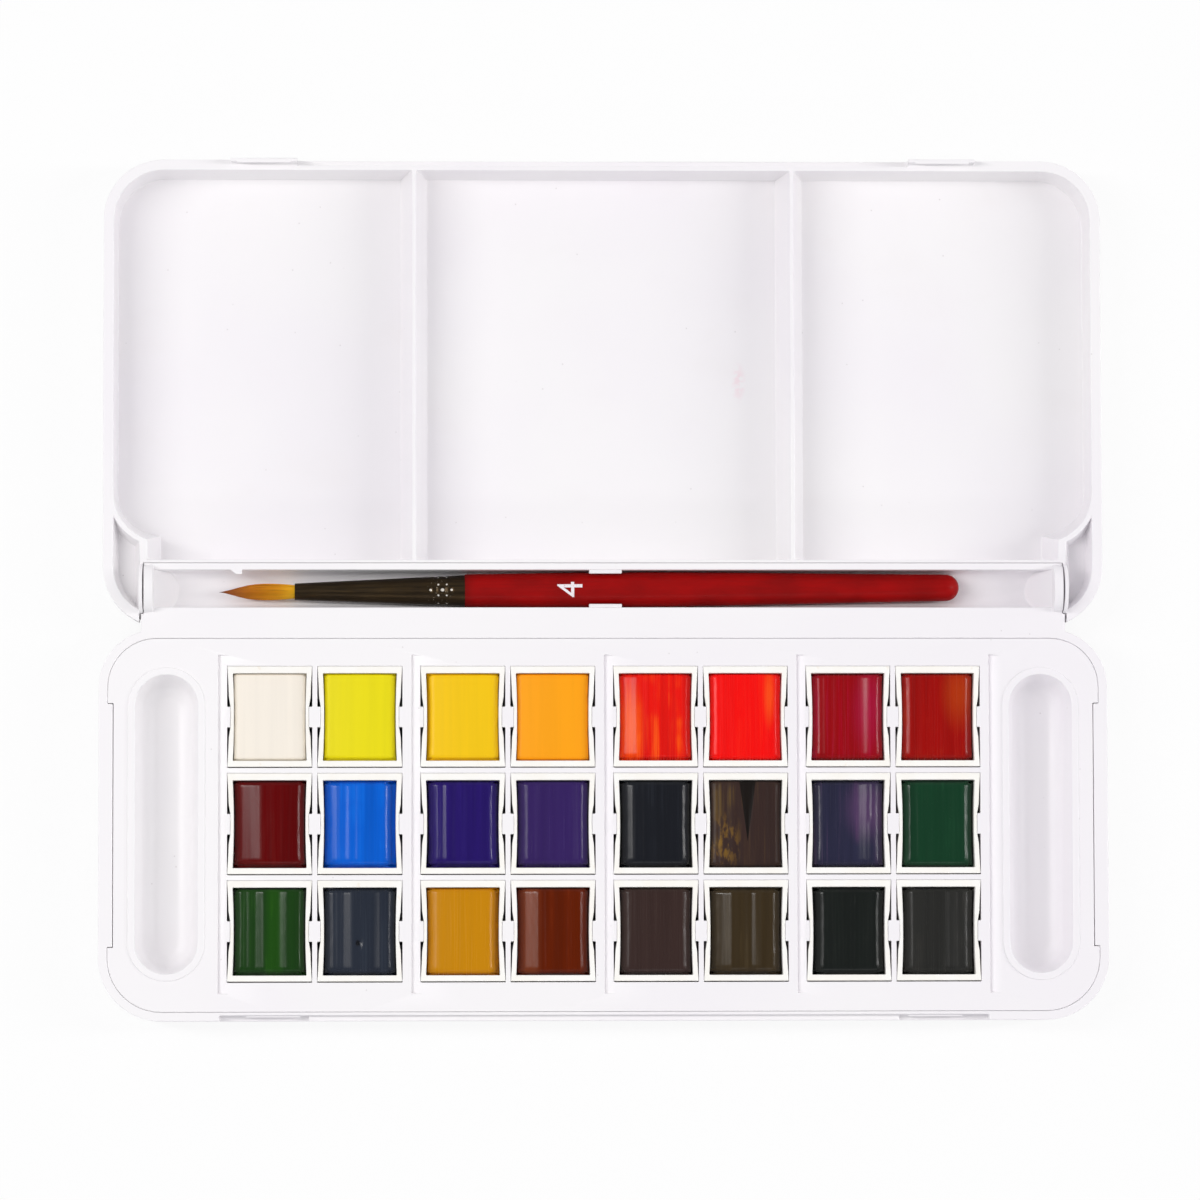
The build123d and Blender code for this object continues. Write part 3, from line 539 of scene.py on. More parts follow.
def upright_walls(bm):
    """Stand the palette's outer walls nearly upright, raise the ear pockets' floors and close the hinge gap.

    Gives the wide rounds at the walls' feet, in millimetres.
    """
    s = settings()
    middle_x, front_y, rear_y = PALETTE_HALF - PALETTE_R, PALETTE_TURN, PALETTE_REAR - PALETTE_R
    lean = 2.1
    feet = {}
    for v in bm.verts:
        x, y, z = v.co / MM
        if abs(y - HINGE_GAP) < NEAR:
            v.co.y -= s.hinge_fill * MM
        if not PALETTE_FLOOR - NEAR < z < RIM - NEAR:
            continue
        off = Vector((0.0, y - rear_y if y > rear_y else min(0.0, y - front_y)))
        if abs(x) > middle_x:
            off.x = math.copysign(abs(x) - middle_x, x)
        elif y < rear_y:
            off.y = 0.0
        deep = (RIM - z) / (RIM - PALETTE_FLOOR)
        beside_ear = y < PALETTE_TURN + 1 and POCKET_IN < abs(x) < PALETTE_HALF + NEAR
        if PALETTE_R - lean - 0.1 < off.length < PALETTE_R + NEAR:
            near = min(max((y - 9.0) / 9.0, 0.0), 1.0)
            share = near * near * (3 - 2 * near)
            v.co += (off.normalized() * share * deep * lean * s.wall_upright * MM).to_3d()
            if deep > 0.99:
                feet[v] = share
        elif beside_ear and off.length > PALETTE_R + 0.9:
            v.co.z += s.pocket_floor * deep * MM
    rounds = {}
    for e in bm.edges:
        a, b = e.verts
        if any(abs(v.co.z / MM - PALETTE_FLOOR) > NEAR for v in (a, b)) or not (a in feet or b in feet):
            continue
        if a in feet and b in feet:
            rounds[e] = max(s.rib_round, s.floor_round * min(feet[a], feet[b]))
        else:
            rounds[e] = s.rib_round
    return rounds


def closer_seam(bm):
    """Widen the tray's outline a little, so that the seam to the shell is fine."""
    low, high = (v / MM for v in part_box("pan_tray"))
    corner = 10.0
    for v in bm.verts:
        x, y = v.co.x / MM, v.co.y / MM
        off_x = math.copysign(max(0.0, abs(x) - high.x + corner), x)
        off_y = max(0.0, y - high.y + corner) + min(0.0, y - low.y - corner)
        off = Vector((off_x, off_y))
        if off.length > corner - 0.3:
            v.co += (off.normalized() * settings().seam_fill * MM).to_3d()
    return {}


def closer_slits(bm):
    """Thicken the trough's end walls a little towards the knuckle plates."""
    for v in bm.verts:
        if abs(abs(v.co.x / MM) - END_WALL) < NEAR and abs(v.co.y / MM) < 5.0:
            bowed = 1 + 0.5 * (v.co.y / MM / 4.5) ** 2
            v.co.x += math.copysign(settings().slit_fill * bowed * MM, v.co.x)
    return {}


def streak_profile(seed, across):
    """Heights of the drawn streaks on one cake, in millimetres."""
    rng = np.random.default_rng(seed)
    height = np.zeros_like(across)
    for count, size in ((2, 0.05), (5, 0.03), (11, 0.012), (23, 0.005)):
        for _ in range(3):
            size_now = size * rng.uniform(0.3, 1.0)
            height += size_now * np.sin(across * count * 1.57 + rng.uniform(0, 2 * math.pi))
    return height


def cake_slopes(place, across, share):
    """Height that a cake's leaning stretches take from its top; share goes from 0 at the front to 1."""
    height = np.zeros((2, len(across)))
    for start, end, first, last, gone in SLOPES.get(place, ()):
        lean = np.tan(np.radians(np.interp(across, (start, end), (first, last))))
        lean = lean / (1 + np.exp((start - across) * 9)) / (1 + np.exp((across - end) * 9))
        fallen = -np.cumsum(lean) * (across[1] - across[0])
        height += np.outer((1.0, 1.0 - gone), fallen)
    height -= height.max(axis=1, keepdims=True)

    def fallen_at(x):
        at_front, at_rear = (np.interp(x, across, row) for row in height)
        return (1 - share) * at_front + share * at_rear

    return fallen_at


def cake_dents(place, u, v):
    """How far a cake's top is pressed in at each point, in millimetres from its middle."""
    dent = np.zeros_like(u)
    if place == "26":
        # A notch that widens towards the rear
        half = np.clip((v + 3.4) * 0.135, 0, None)
        dent += 0.08 * np.clip((half - np.abs(u - 0.4)) / 0.5 + 0.3, 0, 1) * (half > 0)
    if place == "32":
        # A pit
        dent += 0.45 * np.exp(-(((u + 0.1) / 0.35) ** 2 + ((v + 2.2) / 0.5) ** 2))
    if place == "27":
        # A sunken rear right corner and a crack
        dent += 0.14 * (1 / (1 + np.exp(-(u - 1.0) * 3))) * (1 / (1 + np.exp(-(v - 0.5) * 1.4)))
        dent += 0.12 * np.exp(-(((u - 4.1) / 0.12) ** 2)) * (v > 1)
    if place == "37":
        # A crack
        dent += 0.18 * np.exp(-(((u - 0.9) / 0.12) ** 2))
    return dent


def cake_mesh(place):
    """A block of dried paint: nearly straight sides, a streaked top, rounded edges and a closed foot."""
    low, high = (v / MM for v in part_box(f"paint_{place}"))
    left, right, rear, front = CAKES[place][4]
    turn = CAKES[place][5]
    s = settings()
    wide, tall = high.x - low.x, high.y - low.y
    middle = (low + high) / 2
    u = np.sin(np.linspace(-math.pi / 2, math.pi / 2, s.cake_columns + 1))
    v = np.sin(np.linspace(-math.pi / 2, math.pi / 2, s.cake_rows + 1))
    grid_u, grid_v = np.meshgrid(u, v)
    y = -tall / 2 + front + (grid_v + 1) / 2 * (tall - front - rear)
    away = 1 - (2 * y / tall) ** 2
    wall = wide / 2 + s.pan_room - s.pan_bow * away
    # Corners are rounded in plan, and each side keeps clear of the pressed-in wall
    into = np.clip((np.abs(grid_v) * tall / 2 - tall / 2 + s.cake_corner) / s.cake_corner, 0, 1)
    corner = s.cake_corner * (1 - np.sqrt(np.clip(1 - into**2, 0, 1)))
    x_low = left + corner - wall
    x_high = wall - right - corner
    rng = np.random.default_rng(int(place))
    waver = rng.uniform(0, 2 * math.pi, 4)
    ragged = 0.025 * (2 + np.sin(grid_v * 7 + waver[0]) + np.sin(grid_v * 15 + waver[1]))
    x_low += ragged
    x_high -= ragged[::-1]
    x = x_low + (grid_u + 1) / 2 * (x_high - x_low)
    crown = s.cake_crown * (2 * x / wide) ** 2
    from_side = np.minimum(x - x_low, x_high - x)
    from_end = np.minimum(y - y.min(), y.max() - y)
    drop = np.zeros_like(x)
    for gap, r in ((from_side, turn), (y.max() - y, 0.35 * turn), (y - y.min(), 0.65 * turn)):
        inside = np.clip(r - gap, 0, r)
        drop = drop + 0.75 * (r - np.sqrt(np.clip(r**2 - inside**2, 0, None)))
    sink = rng.uniform(0.0, 0.25)
    across = np.linspace(-wide / 2, wide / 2, 400)
    profile = streak_profile(int(place), across) * s.streak_height * min(1.0, CAKES[place][2] * 1.6)
    profile -= profile.max()
    leaning = cake_slopes(place, across, (y - y.min()) / (y.max() - y.min()))
    fade = np.clip(np.minimum(from_side, from_end) / 0.5, 0, 1)
    z = high.z - 0.1 - sink - crown - drop + np.interp(x, across, profile) + leaning(x)
    z -= cake_dents(place, x, y) * fade
    z = np.minimum(z, high.z)
    rows, columns = x.shape
    bm = bmesh.new()

    def point(px, py, pz):
        return bm.verts.new(Vector((middle.x + px, middle.y + py, pz)) * MM)

    top = [[point(x[i, j], y[i, j], z[i, j]) for j in range(columns)] for i in range(rows)]
    for i in range(rows - 1):
        for j in range(columns - 1):
            bm.faces.new((top[i][j], top[i][j + 1], top[i + 1][j + 1], top[i + 1][j]))
    border = [(0, j) for j in range(columns)] + [(i, columns - 1) for i in range(1, rows)]
    border += [(rows - 1, j) for j in range(columns - 2, -1, -1)] + [(i, 0) for i in range(rows - 2, 0, -1)]
    # The cake spreads to the pan's walls a little below its rounded edge
    spread = []
    for i, j in border:
        py = math.copysign(tall / 2 + s.pan_room - 0.06, y[i, j]) if i in (0, rows - 1) else y[i, j]
        reach = wide / 2 + s.pan_room - 0.04 - s.pan_bow * max(0.0, 1 - (2 * py / tall) ** 2)
        px = (x[i, j] - x_low[i, j]) / (x_high[i, j] - x_low[i, j]) * 2 * reach - reach
        spread.append((px, py, z[i, j] - 0.5))
    rings = [[top[i][j] for i, j in border]]
    rings.append([point(*p) for p in spread])
    rings.append([point(px, py, low.z) for px, py, _ in spread])
    for upper, lower in zip(rings, rings[1:]):
        for n in range(len(border)):
            k = (n + 1) % len(border)
            bm.faces.new((upper[n], lower[n], lower[k], upper[k]))
    bm.faces.new(list(reversed(rings[-1])))
    return closed_mesh(bm, f"cake_{place}")


def brush_point(along, r=0.0, angle=0.0):
    """A point by its distance along the brush from the hinge's middle, and round the brush's axis."""
    side, up = r * math.cos(angle), r * math.sin(angle)
    x = along * math.cos(BRUSH_SKEW) - side * math.sin(BRUSH_SKEW)
    y = along * math.sin(BRUSH_SKEW) + side * math.cos(BRUSH_SKEW)
    return Vector((x, y, BRUSH_Z + up)) * MM


def ferrule_mesh():
    """The tapered sleeve with a rolled lip, two crimped rings and the punch marks between them."""
    s = settings()
    front, rear = FERRULE_LOW.x + 0.01, FERRULE_HIGH.x - 0.01
    mouth_r, rear_r = s.ferrule_mouth, (FERRULE_HIGH.z - FERRULE_LOW.z) / 2 - 0.01
    length = rear - front
    evenly = np.linspace(0, length, 60)
    at_crimps = np.linspace(length - 8.2, length - 1.4, 70)
    stations = np.unique(np.concatenate([evenly, at_crimps]))
    round_count = 96
    angles = [2 * math.pi * n / round_count for n in range(round_count)]
    # Rings of punch marks: distance from the rear, how many, their turn and their width
    marks = (
        (2.6, 4, 0.5, 0.26),
        (3.5, 8, 0.0, 0.22),
        (4.3, 4, 0.5, 0.4),
        (5.1, 8, 0.0, 0.24),
        (6.6, 4, 0.5, 0.28),
    )
    punch = 0.16
    bm = bmesh.new()
    # Each point keeps how much of a punch mark it holds, for the painted highlight on the marks
    worn = bm.verts.layers.float.new("punched")
    rings = []
    for at in stations:
        r = mouth_r + (rear_r - mouth_r) * at / length
        back = length - at
        for place in s.crimp_places:
            r -= s.crimp_depth * math.exp(-(((back - place) / 0.32) ** 2))
        ring = []
        for angle in angles:
            dip = 0.0
            for place, count, turn, width in marks:
                off = (angle * count / (2 * math.pi) + turn) % 1.0 - 0.5
                off *= 2 * math.pi * r / count
                dip += punch * math.exp(-((off / width) ** 2) - ((back - place) / width) ** 2)
            ring.append(bm.verts.new(brush_point(front + at, r - dip, angle)))
            ring[-1][worn] = min(1.0, dip / punch)
        rings.append(ring)
    wall = 0.28
    for at, r in ((length, rear_r - wall), (0.0, mouth_r - wall)):
        rings.append([bm.verts.new(brush_point(front + at, r, angle)) for angle in angles])
    for a, b in zip(rings, rings[1:] + rings[:1]):
        for n in range(round_count):
            k = (n + 1) % round_count
            bm.faces.new((a[n], b[n], b[k], a[k]))
    return closed_mesh(bm, "ferrule")


def bristle_tree(material):
    """Geometry Nodes for the tuft: strands on a disc by the golden angle, drawn out to a fine point."""
    tree = bpy.data.node_groups.new("bristle_tuft", "GeometryNodeTree")
    face = tree.interface
    face.new_socket("Geometry", in_out="OUTPUT", socket_type="NodeSocketGeometry")
    face.new_socket("Geometry", in_out="INPUT", socket_type="NodeSocketGeometry")
    inputs = {}
    for name in ("Strands", "Tuft Length", "Tuft Radius", "Strand Radius", "Seed"):
        kind = "NodeSocketInt" if name in ("Strands", "Seed") else "NodeSocketFloat"
        inputs[name] = face.new_socket(name, in_out="INPUT", socket_type=kind).identifier

    def node(kind, choices=None, sockets=None):
        made = tree.nodes.new(kind)
        for key, value in (choices or {}).items():
            setattr(made, key, value)
        for key, value in (sockets or {}).items():
            if isinstance(value, bpy.types.NodeSocket):
                tree.links.new(value, made.inputs[key])
            else:
                made.inputs[key].default_value = value
        return made

    def calc(operation, first, second=0.0):
        return node("ShaderNodeMath", {"operation": operation}, {0: first, 1: second}).outputs[0]

    given = tree.nodes.new("NodeGroupInput")
    number = node("GeometryNodeInputIndex").outputs[0]
    points = node("GeometryNodePoints", None, {"Count": given.outputs["Strands"]})
    share = calc("DIVIDE", calc("ADD", number, 0.5), given.outputs["Strands"])
    radius = calc("MULTIPLY", calc("SQRT", share), given.outputs["Tuft Radius"])
    turn = calc("MULTIPLY", number, math.pi * (3 - math.sqrt(5)))
    seat_u = calc("MULTIPLY", radius, calc("COSINE", turn))
    seat_v = calc("MULTIPLY", radius, calc("SINE", turn))
    chance = {2: 0.0, 3: 1.0, "ID": number, "Seed": given.outputs["Seed"]}
    luck = node("FunctionNodeRandomValue", {"data_type": "FLOAT"}, chance).outputs[1]
    # Outer strands stop a little short of the inner ones, so the point is fine
    short = calc("ADD", calc("MULTIPLY", share, 0.05), calc("MULTIPLY", luck, 0.05))
    reach = calc("SUBTRACT", 1.0, short)
    seat = node("ShaderNodeCombineXYZ", None, {0: seat_u, 1: seat_v, 2: reach}).outputs[0]
    stored = node(
        "GeometryNodeStoreNamedAttribute",
        {"data_type": "FLOAT_VECTOR", "domain": "POINT"},
        {"Geometry": points.outputs[0], "Name": "seat", "Value": seat},
    )
    line = node("GeometryNodeCurvePrimitiveLine")
    strand = node("GeometryNodeResampleCurve", None, {"Curve": line.outputs[0], "Count": 10})
    seated = {"Points": stored.outputs[0], "Instance": strand.outputs[0]}
    spread = node("GeometryNodeInstanceOnPoints", None, seated)
    curves = node("GeometryNodeRealizeInstances", None, {0: spread.outputs[0]})
    along = node("GeometryNodeSplineParameter").outputs[0]
    kept = node("GeometryNodeInputNamedAttribute", {"data_type": "FLOAT_VECTOR"}, {"Name": "seat"}).outputs[0]
    split = node("ShaderNodeSeparateXYZ", None, {0: kept})
    width = node("ShaderNodeFloatCurve", None, {"Value": along})
    curve = width.mapping.curves[0]
    for place, share_wide in ((0.35, 0.976), (0.56, 0.92), (0.74, 0.64), (0.9, 0.27)):
        curve.points.new(place, share_wide)
    curve.points[0].location = (0.0, 0.8)
    curve.points[-1].location = (1.0, 0.03)
    width.mapping.update()
    spread_wide = calc("MULTIPLY", width.outputs[0], 1.25)
    wave = calc("MULTIPLY", calc("SINE", calc("MULTIPLY", along, 3.1)), 0.04)
    spread_side = calc("ADD", spread_wide, wave)
    where = {
        0: calc("MULTIPLY", calc("MULTIPLY", along, split.outputs[2]), given.outputs["Tuft Length"]),
        1: calc("MULTIPLY", split.outputs[0], spread_side),
        2: calc("MULTIPLY", split.outputs[1], spread_wide),
    }
    moved = node("ShaderNodeCombineXYZ", None, where).outputs[0]
    placed = node("GeometryNodeSetPosition", None, {"Geometry": curves.outputs[0], "Position": moved})
    sizes = {"Resolution": 3, "Radius": given.outputs["Strand Radius"]}
    ring = node("GeometryNodeCurvePrimitiveCircle", {"mode": "RADIUS"}, sizes)
    taper = calc("SUBTRACT", 1.0, calc("MULTIPLY", calc("POWER", along, 2.0), 0.72))
    skin = {"Curve": placed.outputs[0], "Profile Curve": ring.outputs[0], "Scale": taper, "Fill Caps": True}
    tube = node("GeometryNodeCurveToMesh", None, skin)
    smooth = node("GeometryNodeSetShadeSmooth", None, {"Geometry": tube.outputs[0], "Shade Smooth": True})
    whole = node("GeometryNodeRealizeInstances", None, {0: smooth.outputs[0]})
    painted = node("GeometryNodeSetMaterial", None, {"Geometry": whole.outputs[0], "Material": material})
    result = tree.nodes.new("NodeGroupOutput")
    tree.links.new(painted.outputs[0], result.inputs[0])
    return tree, inputs


# Sizes and colours


def ratio(name, description, default, low, high):
    return bpy.props.FloatProperty(name=name, description=description, default=default, min=low, max=high)


def millimetres(name, description, default, low, high):
    return ratio(name, f"{description}, in millimetres", default, low, high)


def whole_number(name, description, default, low, high):
    return bpy.props.IntProperty(name=name, description=description, default=default, min=low, max=high)


def tone(name, description, rgb):
    shown = {"subtype": "COLOR", "size": 3, "min": 0, "max": 1}
    return bpy.props.FloatVectorProperty(name=name, description=description, default=linear(rgb)[:3], **shown)


class PaintSetSettings(bpy.types.PropertyGroup):
    """Sizes and colours that the panel shows"""

    edge_round: millimetres("Edge Round", "Round of the moulded edges", 0.18, 0.02, 0.5)
    floor_round: millimetres(
        "Floor Round", "Round where the palette's outer walls meet its floors", 3.0, 0.1, 4.0
    )
    rib_round: millimetres("Rib Round", "Round at the feet of the palette's ribs", 0.4, 0.1, 1.0)
    pocket_floor: millimetres(
        "Pocket Floor", "How far the floors of the ear pockets stand up", 6.5, 0.0, 9.0
    )
    hinge_fill: millimetres(
        "Hinge Fill", "How far the lid's back wall closes the gap to the barrel", 0.09, 0.0, 0.12
    )
    wall_upright: ratio(
        "Upright Walls",
        "How far the palette's outer walls are stood up, as a share of their lean",
        default=0.82,
        low=0.0,
        high=1.0,
    )
    seam_round: millimetres("Seam Round", "Round of the tray's edges", 0.12, 0.02, 0.5)
    pan_round: millimetres("Pan Edge Round", "Round of the half pans' edges", 0.15, 0.02, 0.45)
    pan_room: millimetres(
        "Pan Room", "How far a pan's inner wall stands outside the solid cake", 0.22, 0.0, 0.4
    )
    cake_corner: millimetres("Cake Corner", "Round of a cake's corners in plan", 0.5, 0.05, 2.0)
    cell_fill: millimetres("Cell Fill", "How far a pan's corners fill the gap to its cell", 0.17, 0.0, 0.18)
    wall_fill: millimetres(
        "Wall Fill", "How far a pan's outer walls stand out beside the nubs", 0.28, 0.0, 0.4
    )
    seam_fill: millimetres(
        "Seam Fill", "How far the tray's outline closes the seam to the shell", 0.07, 0.0, 0.1
    )
    slit_fill: millimetres(
        "Slit Fill", "How far the trough's end walls close the gap to the knuckle plates", 0.28, 0.0, 0.3
    )
    pan_bow: millimetres("Pan Bow", "How far a pan's inner wall is pressed in", 0.14, 0.0, 1.0)
    cake_crown: millimetres("Cake Crown", "Fall of a paint cake's top from middle to side", 0.3, 0.0, 1.5)
    streak_height: ratio("Streak Height", "Height of the streaks on the cakes, as a share", 0.35, 0.0, 2.0)
    cake_columns: whole_number("Cake Columns", "Faces across a cake's top", 60, 12, 120)
    cake_rows: whole_number("Cake Rows", "Faces along a cake's top", 40, 12, 120)
    ferrule_mouth: millimetres("Ferrule Mouth", "Radius of the ferrule at the hair", 1.6, 0.5, 3.0)
    crimp_depth: millimetres("Crimp Depth", "Depth of the crimped rings", 0.1, 0.0, 0.25)
    crimp_places: bpy.props.FloatVectorProperty(
        name="Crimp Places",
        description="Distance of each crimped ring from the ferrule's rear, in millimetres",
        default=(3.8, 5.6),
        size=2,
    )
    well_place: bpy.props.FloatProperty(
        name="Well Place",
        description="Middle of the box to the middle of a well, in millimetres",
        default=83.3,
    )
    strands: whole_number("Strands", "Number of bristles in the tuft", 900, 300, 2000)
    strand_radius: millimetres("Strand Radius", "Radius of one bristle", 0.048, 0.02, 0.1)
    plastic_colour: tone("Box Plastic", "Colour of the box", (249, 247, 248))
    pan_colour: tone("Pan Plastic", "Colour of the half pans", (254, 253, 249))
    lacquer_colour: tone("Handle Lacquer", "Colour of the brush handle", (158, 0, 0))
    ferrule_colour: tone("Ferrule", "Colour of the ferrule", (58, 48, 36))
    tip_colour: tone("Bristle Tip", "Colour of the bristles near the tip", (176, 90, 0))
    belly_colour: tone("Bristle Belly", "Colour of the bristles half way", (226, 142, 0))
    root_colour: tone("Bristle Root", "Colour of the bristles at the ferrule", (255, 202, 32))


def middle_of(node):
    """The middle of a solid's box, in millimetres."""
    low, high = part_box(node)
    return (low + high) / 2 / MM


def shared(name, make):
    """A material that several pieces share, made the first time it is asked for."""
    return bpy.data.materials.get(name) or make()


def plastic_piece(name, node, body, cuts=(), edge=None, reshape=None):
    """A piece of the box's white plastic that stands for one solid."""
    mesh = softened(node, edge or settings().edge_round, cuts, reshape=reshape)
    piece = new_piece(name, mesh, body, shared("moulded_white_plastic", moulded_plastic))
    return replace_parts(piece, node)


class PAINTSET_OT_lid(bpy.types.Operator):
    """Add the palette lid with rounded moulded edges"""

    bl_idname = "paintset.lid"
    bl_label = "Palette Lid"

    def execute(self, context):
        cuts = [(0, 0.0), (1, 0.0), (1, 45.0)]
        plastic_piece("palette_lid", "lid", "lid", cuts, reshape=upright_walls)
        return {"FINISHED"}


class PAINTSET_OT_base(bpy.types.Operator):
    """Add the base shell with its brush trough"""

    bl_idname = "paintset.base"
    bl_label = "Base Shell"

    def execute(self, context):
        cuts = [(0, 0.0), (1, 0.0), (1, -45.0)]
        plastic_piece("base_moulding", "base_shell", "base", cuts, reshape=closer_slits)
        return {"FINISHED"}


class PAINTSET_OT_tray(bpy.types.Operator):
    """Add the pan tray with its wells"""

    bl_idname = "paintset.tray"
    bl_label = "Pan Tray"

    def execute(self, context):
        middles = [middle_of(f"half_pan_{place}") for place in PLACES]
        columns = sorted({round(m.x, 2) for m in middles})
        rows = sorted({round(m.y, 2) for m in middles})
        wells = [side * settings().well_place for side in (-1, 1)]
        cuts = [(0, x) for x in (*columns, *wells)] + [(1, y) for y in rows]
        plastic_piece("tray_moulding", "pan_tray", "base", cuts, settings().seam_round, closer_seam)
        return {"FINISHED"}


class PAINTSET_OT_tabs(bpy.types.Operator):
    """Add the two tabs that hold the brush"""

    bl_idname = "paintset.tabs"
    bl_label = "Brush Tabs"

    def execute(self, context):
        plastic_piece("brush_tabs", "brush_clips", "base")
        return {"FINISHED"}


def fitted_pan(middle):
    """The change that seats a pan close in its cell, with walls thinner where the nubs press on them."""
    s = settings()

    def reshape(bm):
        for v in bm.verts:
            x, y = v.co.x / MM - middle.x, v.co.y / MM - middle.y
            away = max(0.0, 1 - (y / 9.5) ** 2)
            if abs(x) < 7.1 and abs(y) < 8.9:
                x += math.copysign(s.pan_room - 0.12 + (0.47 - s.pan_bow) * away, x)
                y += math.copysign(s.pan_room - 0.12, y)
            else:
                beside = min(max(abs(y) - 2.3, 0.0), 1.0)
                x += math.copysign(s.cell_fill * (1 - away) + s.wall_fill * away * beside, x)
                y += s.cell_fill * (y > 9.0)
            v.co.x, v.co.y = (x + middle.x) * MM, (y + middle.y) * MM
        return {}

    return reshape


class PAINTSET_OT_pans(bpy.types.Operator):
    """Add the half pans"""

    bl_idname = "paintset.pans"
    bl_label = "Half Pans"

    def execute(self, context):
        material = shared("warm_white_pan_plastic", pan_plastic)
        for place in PLACES:
            middle = middle_of(f"half_pan_{place}")
            cuts = [(0, middle.x), (1, middle.y)]
            mesh = softened(f"half_pan_{place}", settings().pan_round, cuts, reshape=fitted_pan(middle))
            piece = new_piece(f"pan_cup_{place}", mesh, f"pan_{place}", material)
            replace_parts(piece, f"half_pan_{place}")
        return {"FINISHED"}


class PAINTSET_OT_cakes(bpy.types.Operator):
    """Add a streaked cake of paint to each half pan"""

    bl_idname = "paintset.cakes"
    bl_label = "Paint Cakes"

    def execute(self, context):
        for place in PLACES:
            node = f"paint_{place}"
            material = cake_finish(place, middle_of(node))
            piece = new_piece(f"paint_cake_{place}", cake_mesh(place), f"pan_{place}", material)
            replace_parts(piece, node)
        return {"FINISHED"}


class PAINTSET_OT_handle(bpy.types.Operator):
    """Lacquer the brush handle and print its size number"""

    bl_idname = "paintset.handle"
    bl_label = "Brush Handle"

    def execute(self, context):
        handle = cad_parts["brush_handle"]
        handle.data.materials.clear()
        handle.data.materials.append(red_lacquer())
        handle.data.shade_smooth()
        handle.data.set_sharp_from_angle(angle=math.radians(40))
        text = bpy.data.curves.new("size_number", "FONT")
        text.body = "4"
        text.align_x, text.align_y = "CENTER", "CENTER"
        text.size = 1.0
        text.resolution_u = 4
        mesh = baked(put("size_number_work", text))
        bm = bmesh.new()
        bm.from_mesh(mesh)
        bmesh.ops.subdivide_edges(bm, edges=bm.edges, cuts=3, use_grid_fill=True)
        bmesh.ops.triangulate(bm, faces=bm.faces)
        xs, ys = [v.co.x for v in bm.verts], [v.co.y for v in bm.verts]
        mid_x, mid_y = (min(xs) + max(xs)) / 2, (min(ys) + max(ys)) / 2
        tall, wide = max(ys) - min(ys), max(xs) - min(xs)
        hull = self.handle_radius()
        number_at, number_tall, number_wide, ink = -6.5, 4.8, 2.9, 0.012
        for v in bm.verts:
            # The number's foot points to the right end of the brush
            along = number_at - (v.co.y - mid_y) / tall * number_tall
            side = (v.co.x - mid_x) / wide * number_wide - 0.1
            v.co = brush_point(along, hull(along) + ink, math.acos(side / hull(along)))
        if sum((f.normal.z for f in bm.faces), 0.0) < 0:
            bmesh.ops.reverse_faces(bm, faces=bm.faces)
        shell = bmesh.ops.extrude_face_region(bm, geom=list(bm.faces))
        for v in (g for g in shell["geom"] if isinstance(g, bmesh.types.BMVert)):
            v.co.z += ink * MM
        bmesh.ops.recalc_face_normals(bm, faces=bm.faces)
        bm.to_mesh(mesh)
        bm.free()
        new_piece("size_number", mesh, "brush", white_print())
        return {"FINISHED"}

    def handle_radius(self):
        """The handle's radius by distance along the brush, read from its solid."""
        co = np.array([v.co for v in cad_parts["brush_handle"].data.vertices]) / MM
        along = co[:, 0] * math.cos(BRUSH_SKEW) + co[:, 1] * math.sin(BRUSH_SKEW)
        side = -co[:, 0] * math.sin(BRUSH_SKEW) + co[:, 1] * math.cos(BRUSH_SKEW)
        r = np.hypot(side, co[:, 2] - BRUSH_Z)
        order = np.argsort(along)
        return lambda at: float(np.interp(at, along[order], r[order]))


class PAINTSET_OT_ferrule(bpy.types.Operator):
    """Add the crimped ferrule"""

    bl_idname = "paintset.ferrule"
    bl_label = "Ferrule"

    def execute(self, context):
        piece = new_piece("crimped_ferrule", ferrule_mesh(), "brush", ferrule_metal())
        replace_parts(piece, "brush_ferrule")
        return {"FINISHED"}


class PAINTSET_OT_bristles(bpy.types.Operator):
    """Grow the brush's tuft with Geometry Nodes"""

    bl_idname = "paintset.bristles"
    bl_label = "Bristles"

    def execute(self, context):
        s = settings()
        material = bristle_finish()
        tree, inputs = bristle_tree(material)
        work = put("bristle_work", bpy.data.meshes.new("bristle_seed"))
        grown = work.modifiers.new("tuft", "NODES")
        grown.node_group = tree
        grown[inputs["Strands"]] = s.strands
        grown[inputs["Tuft Length"]] = FERRULE_LOW.x - HAIR_LOW.x - 0.02
        grown[inputs["Tuft Radius"]] = s.ferrule_mouth - 0.36
        grown[inputs["Strand Radius"]] = s.strand_radius
        grown[inputs["Seed"]] = 4
        mesh = baked(work)
        bm = bmesh.new()
        bm.from_mesh(mesh)
        for v in bm.verts:
            reach, side, up = v.co
            v.co = brush_point(FERRULE_LOW.x + 0.06 - reach) + Vector((0, side, up)) * MM
        bmesh.ops.recalc_face_normals(bm, faces=bm.faces)
        bm.to_mesh(mesh)
        bm.free()
        mesh.shade_smooth()
        piece = new_piece("bristle_tuft", mesh, "brush", material)
        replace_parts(piece, "brush_hair")
        return {"FINISHED"}


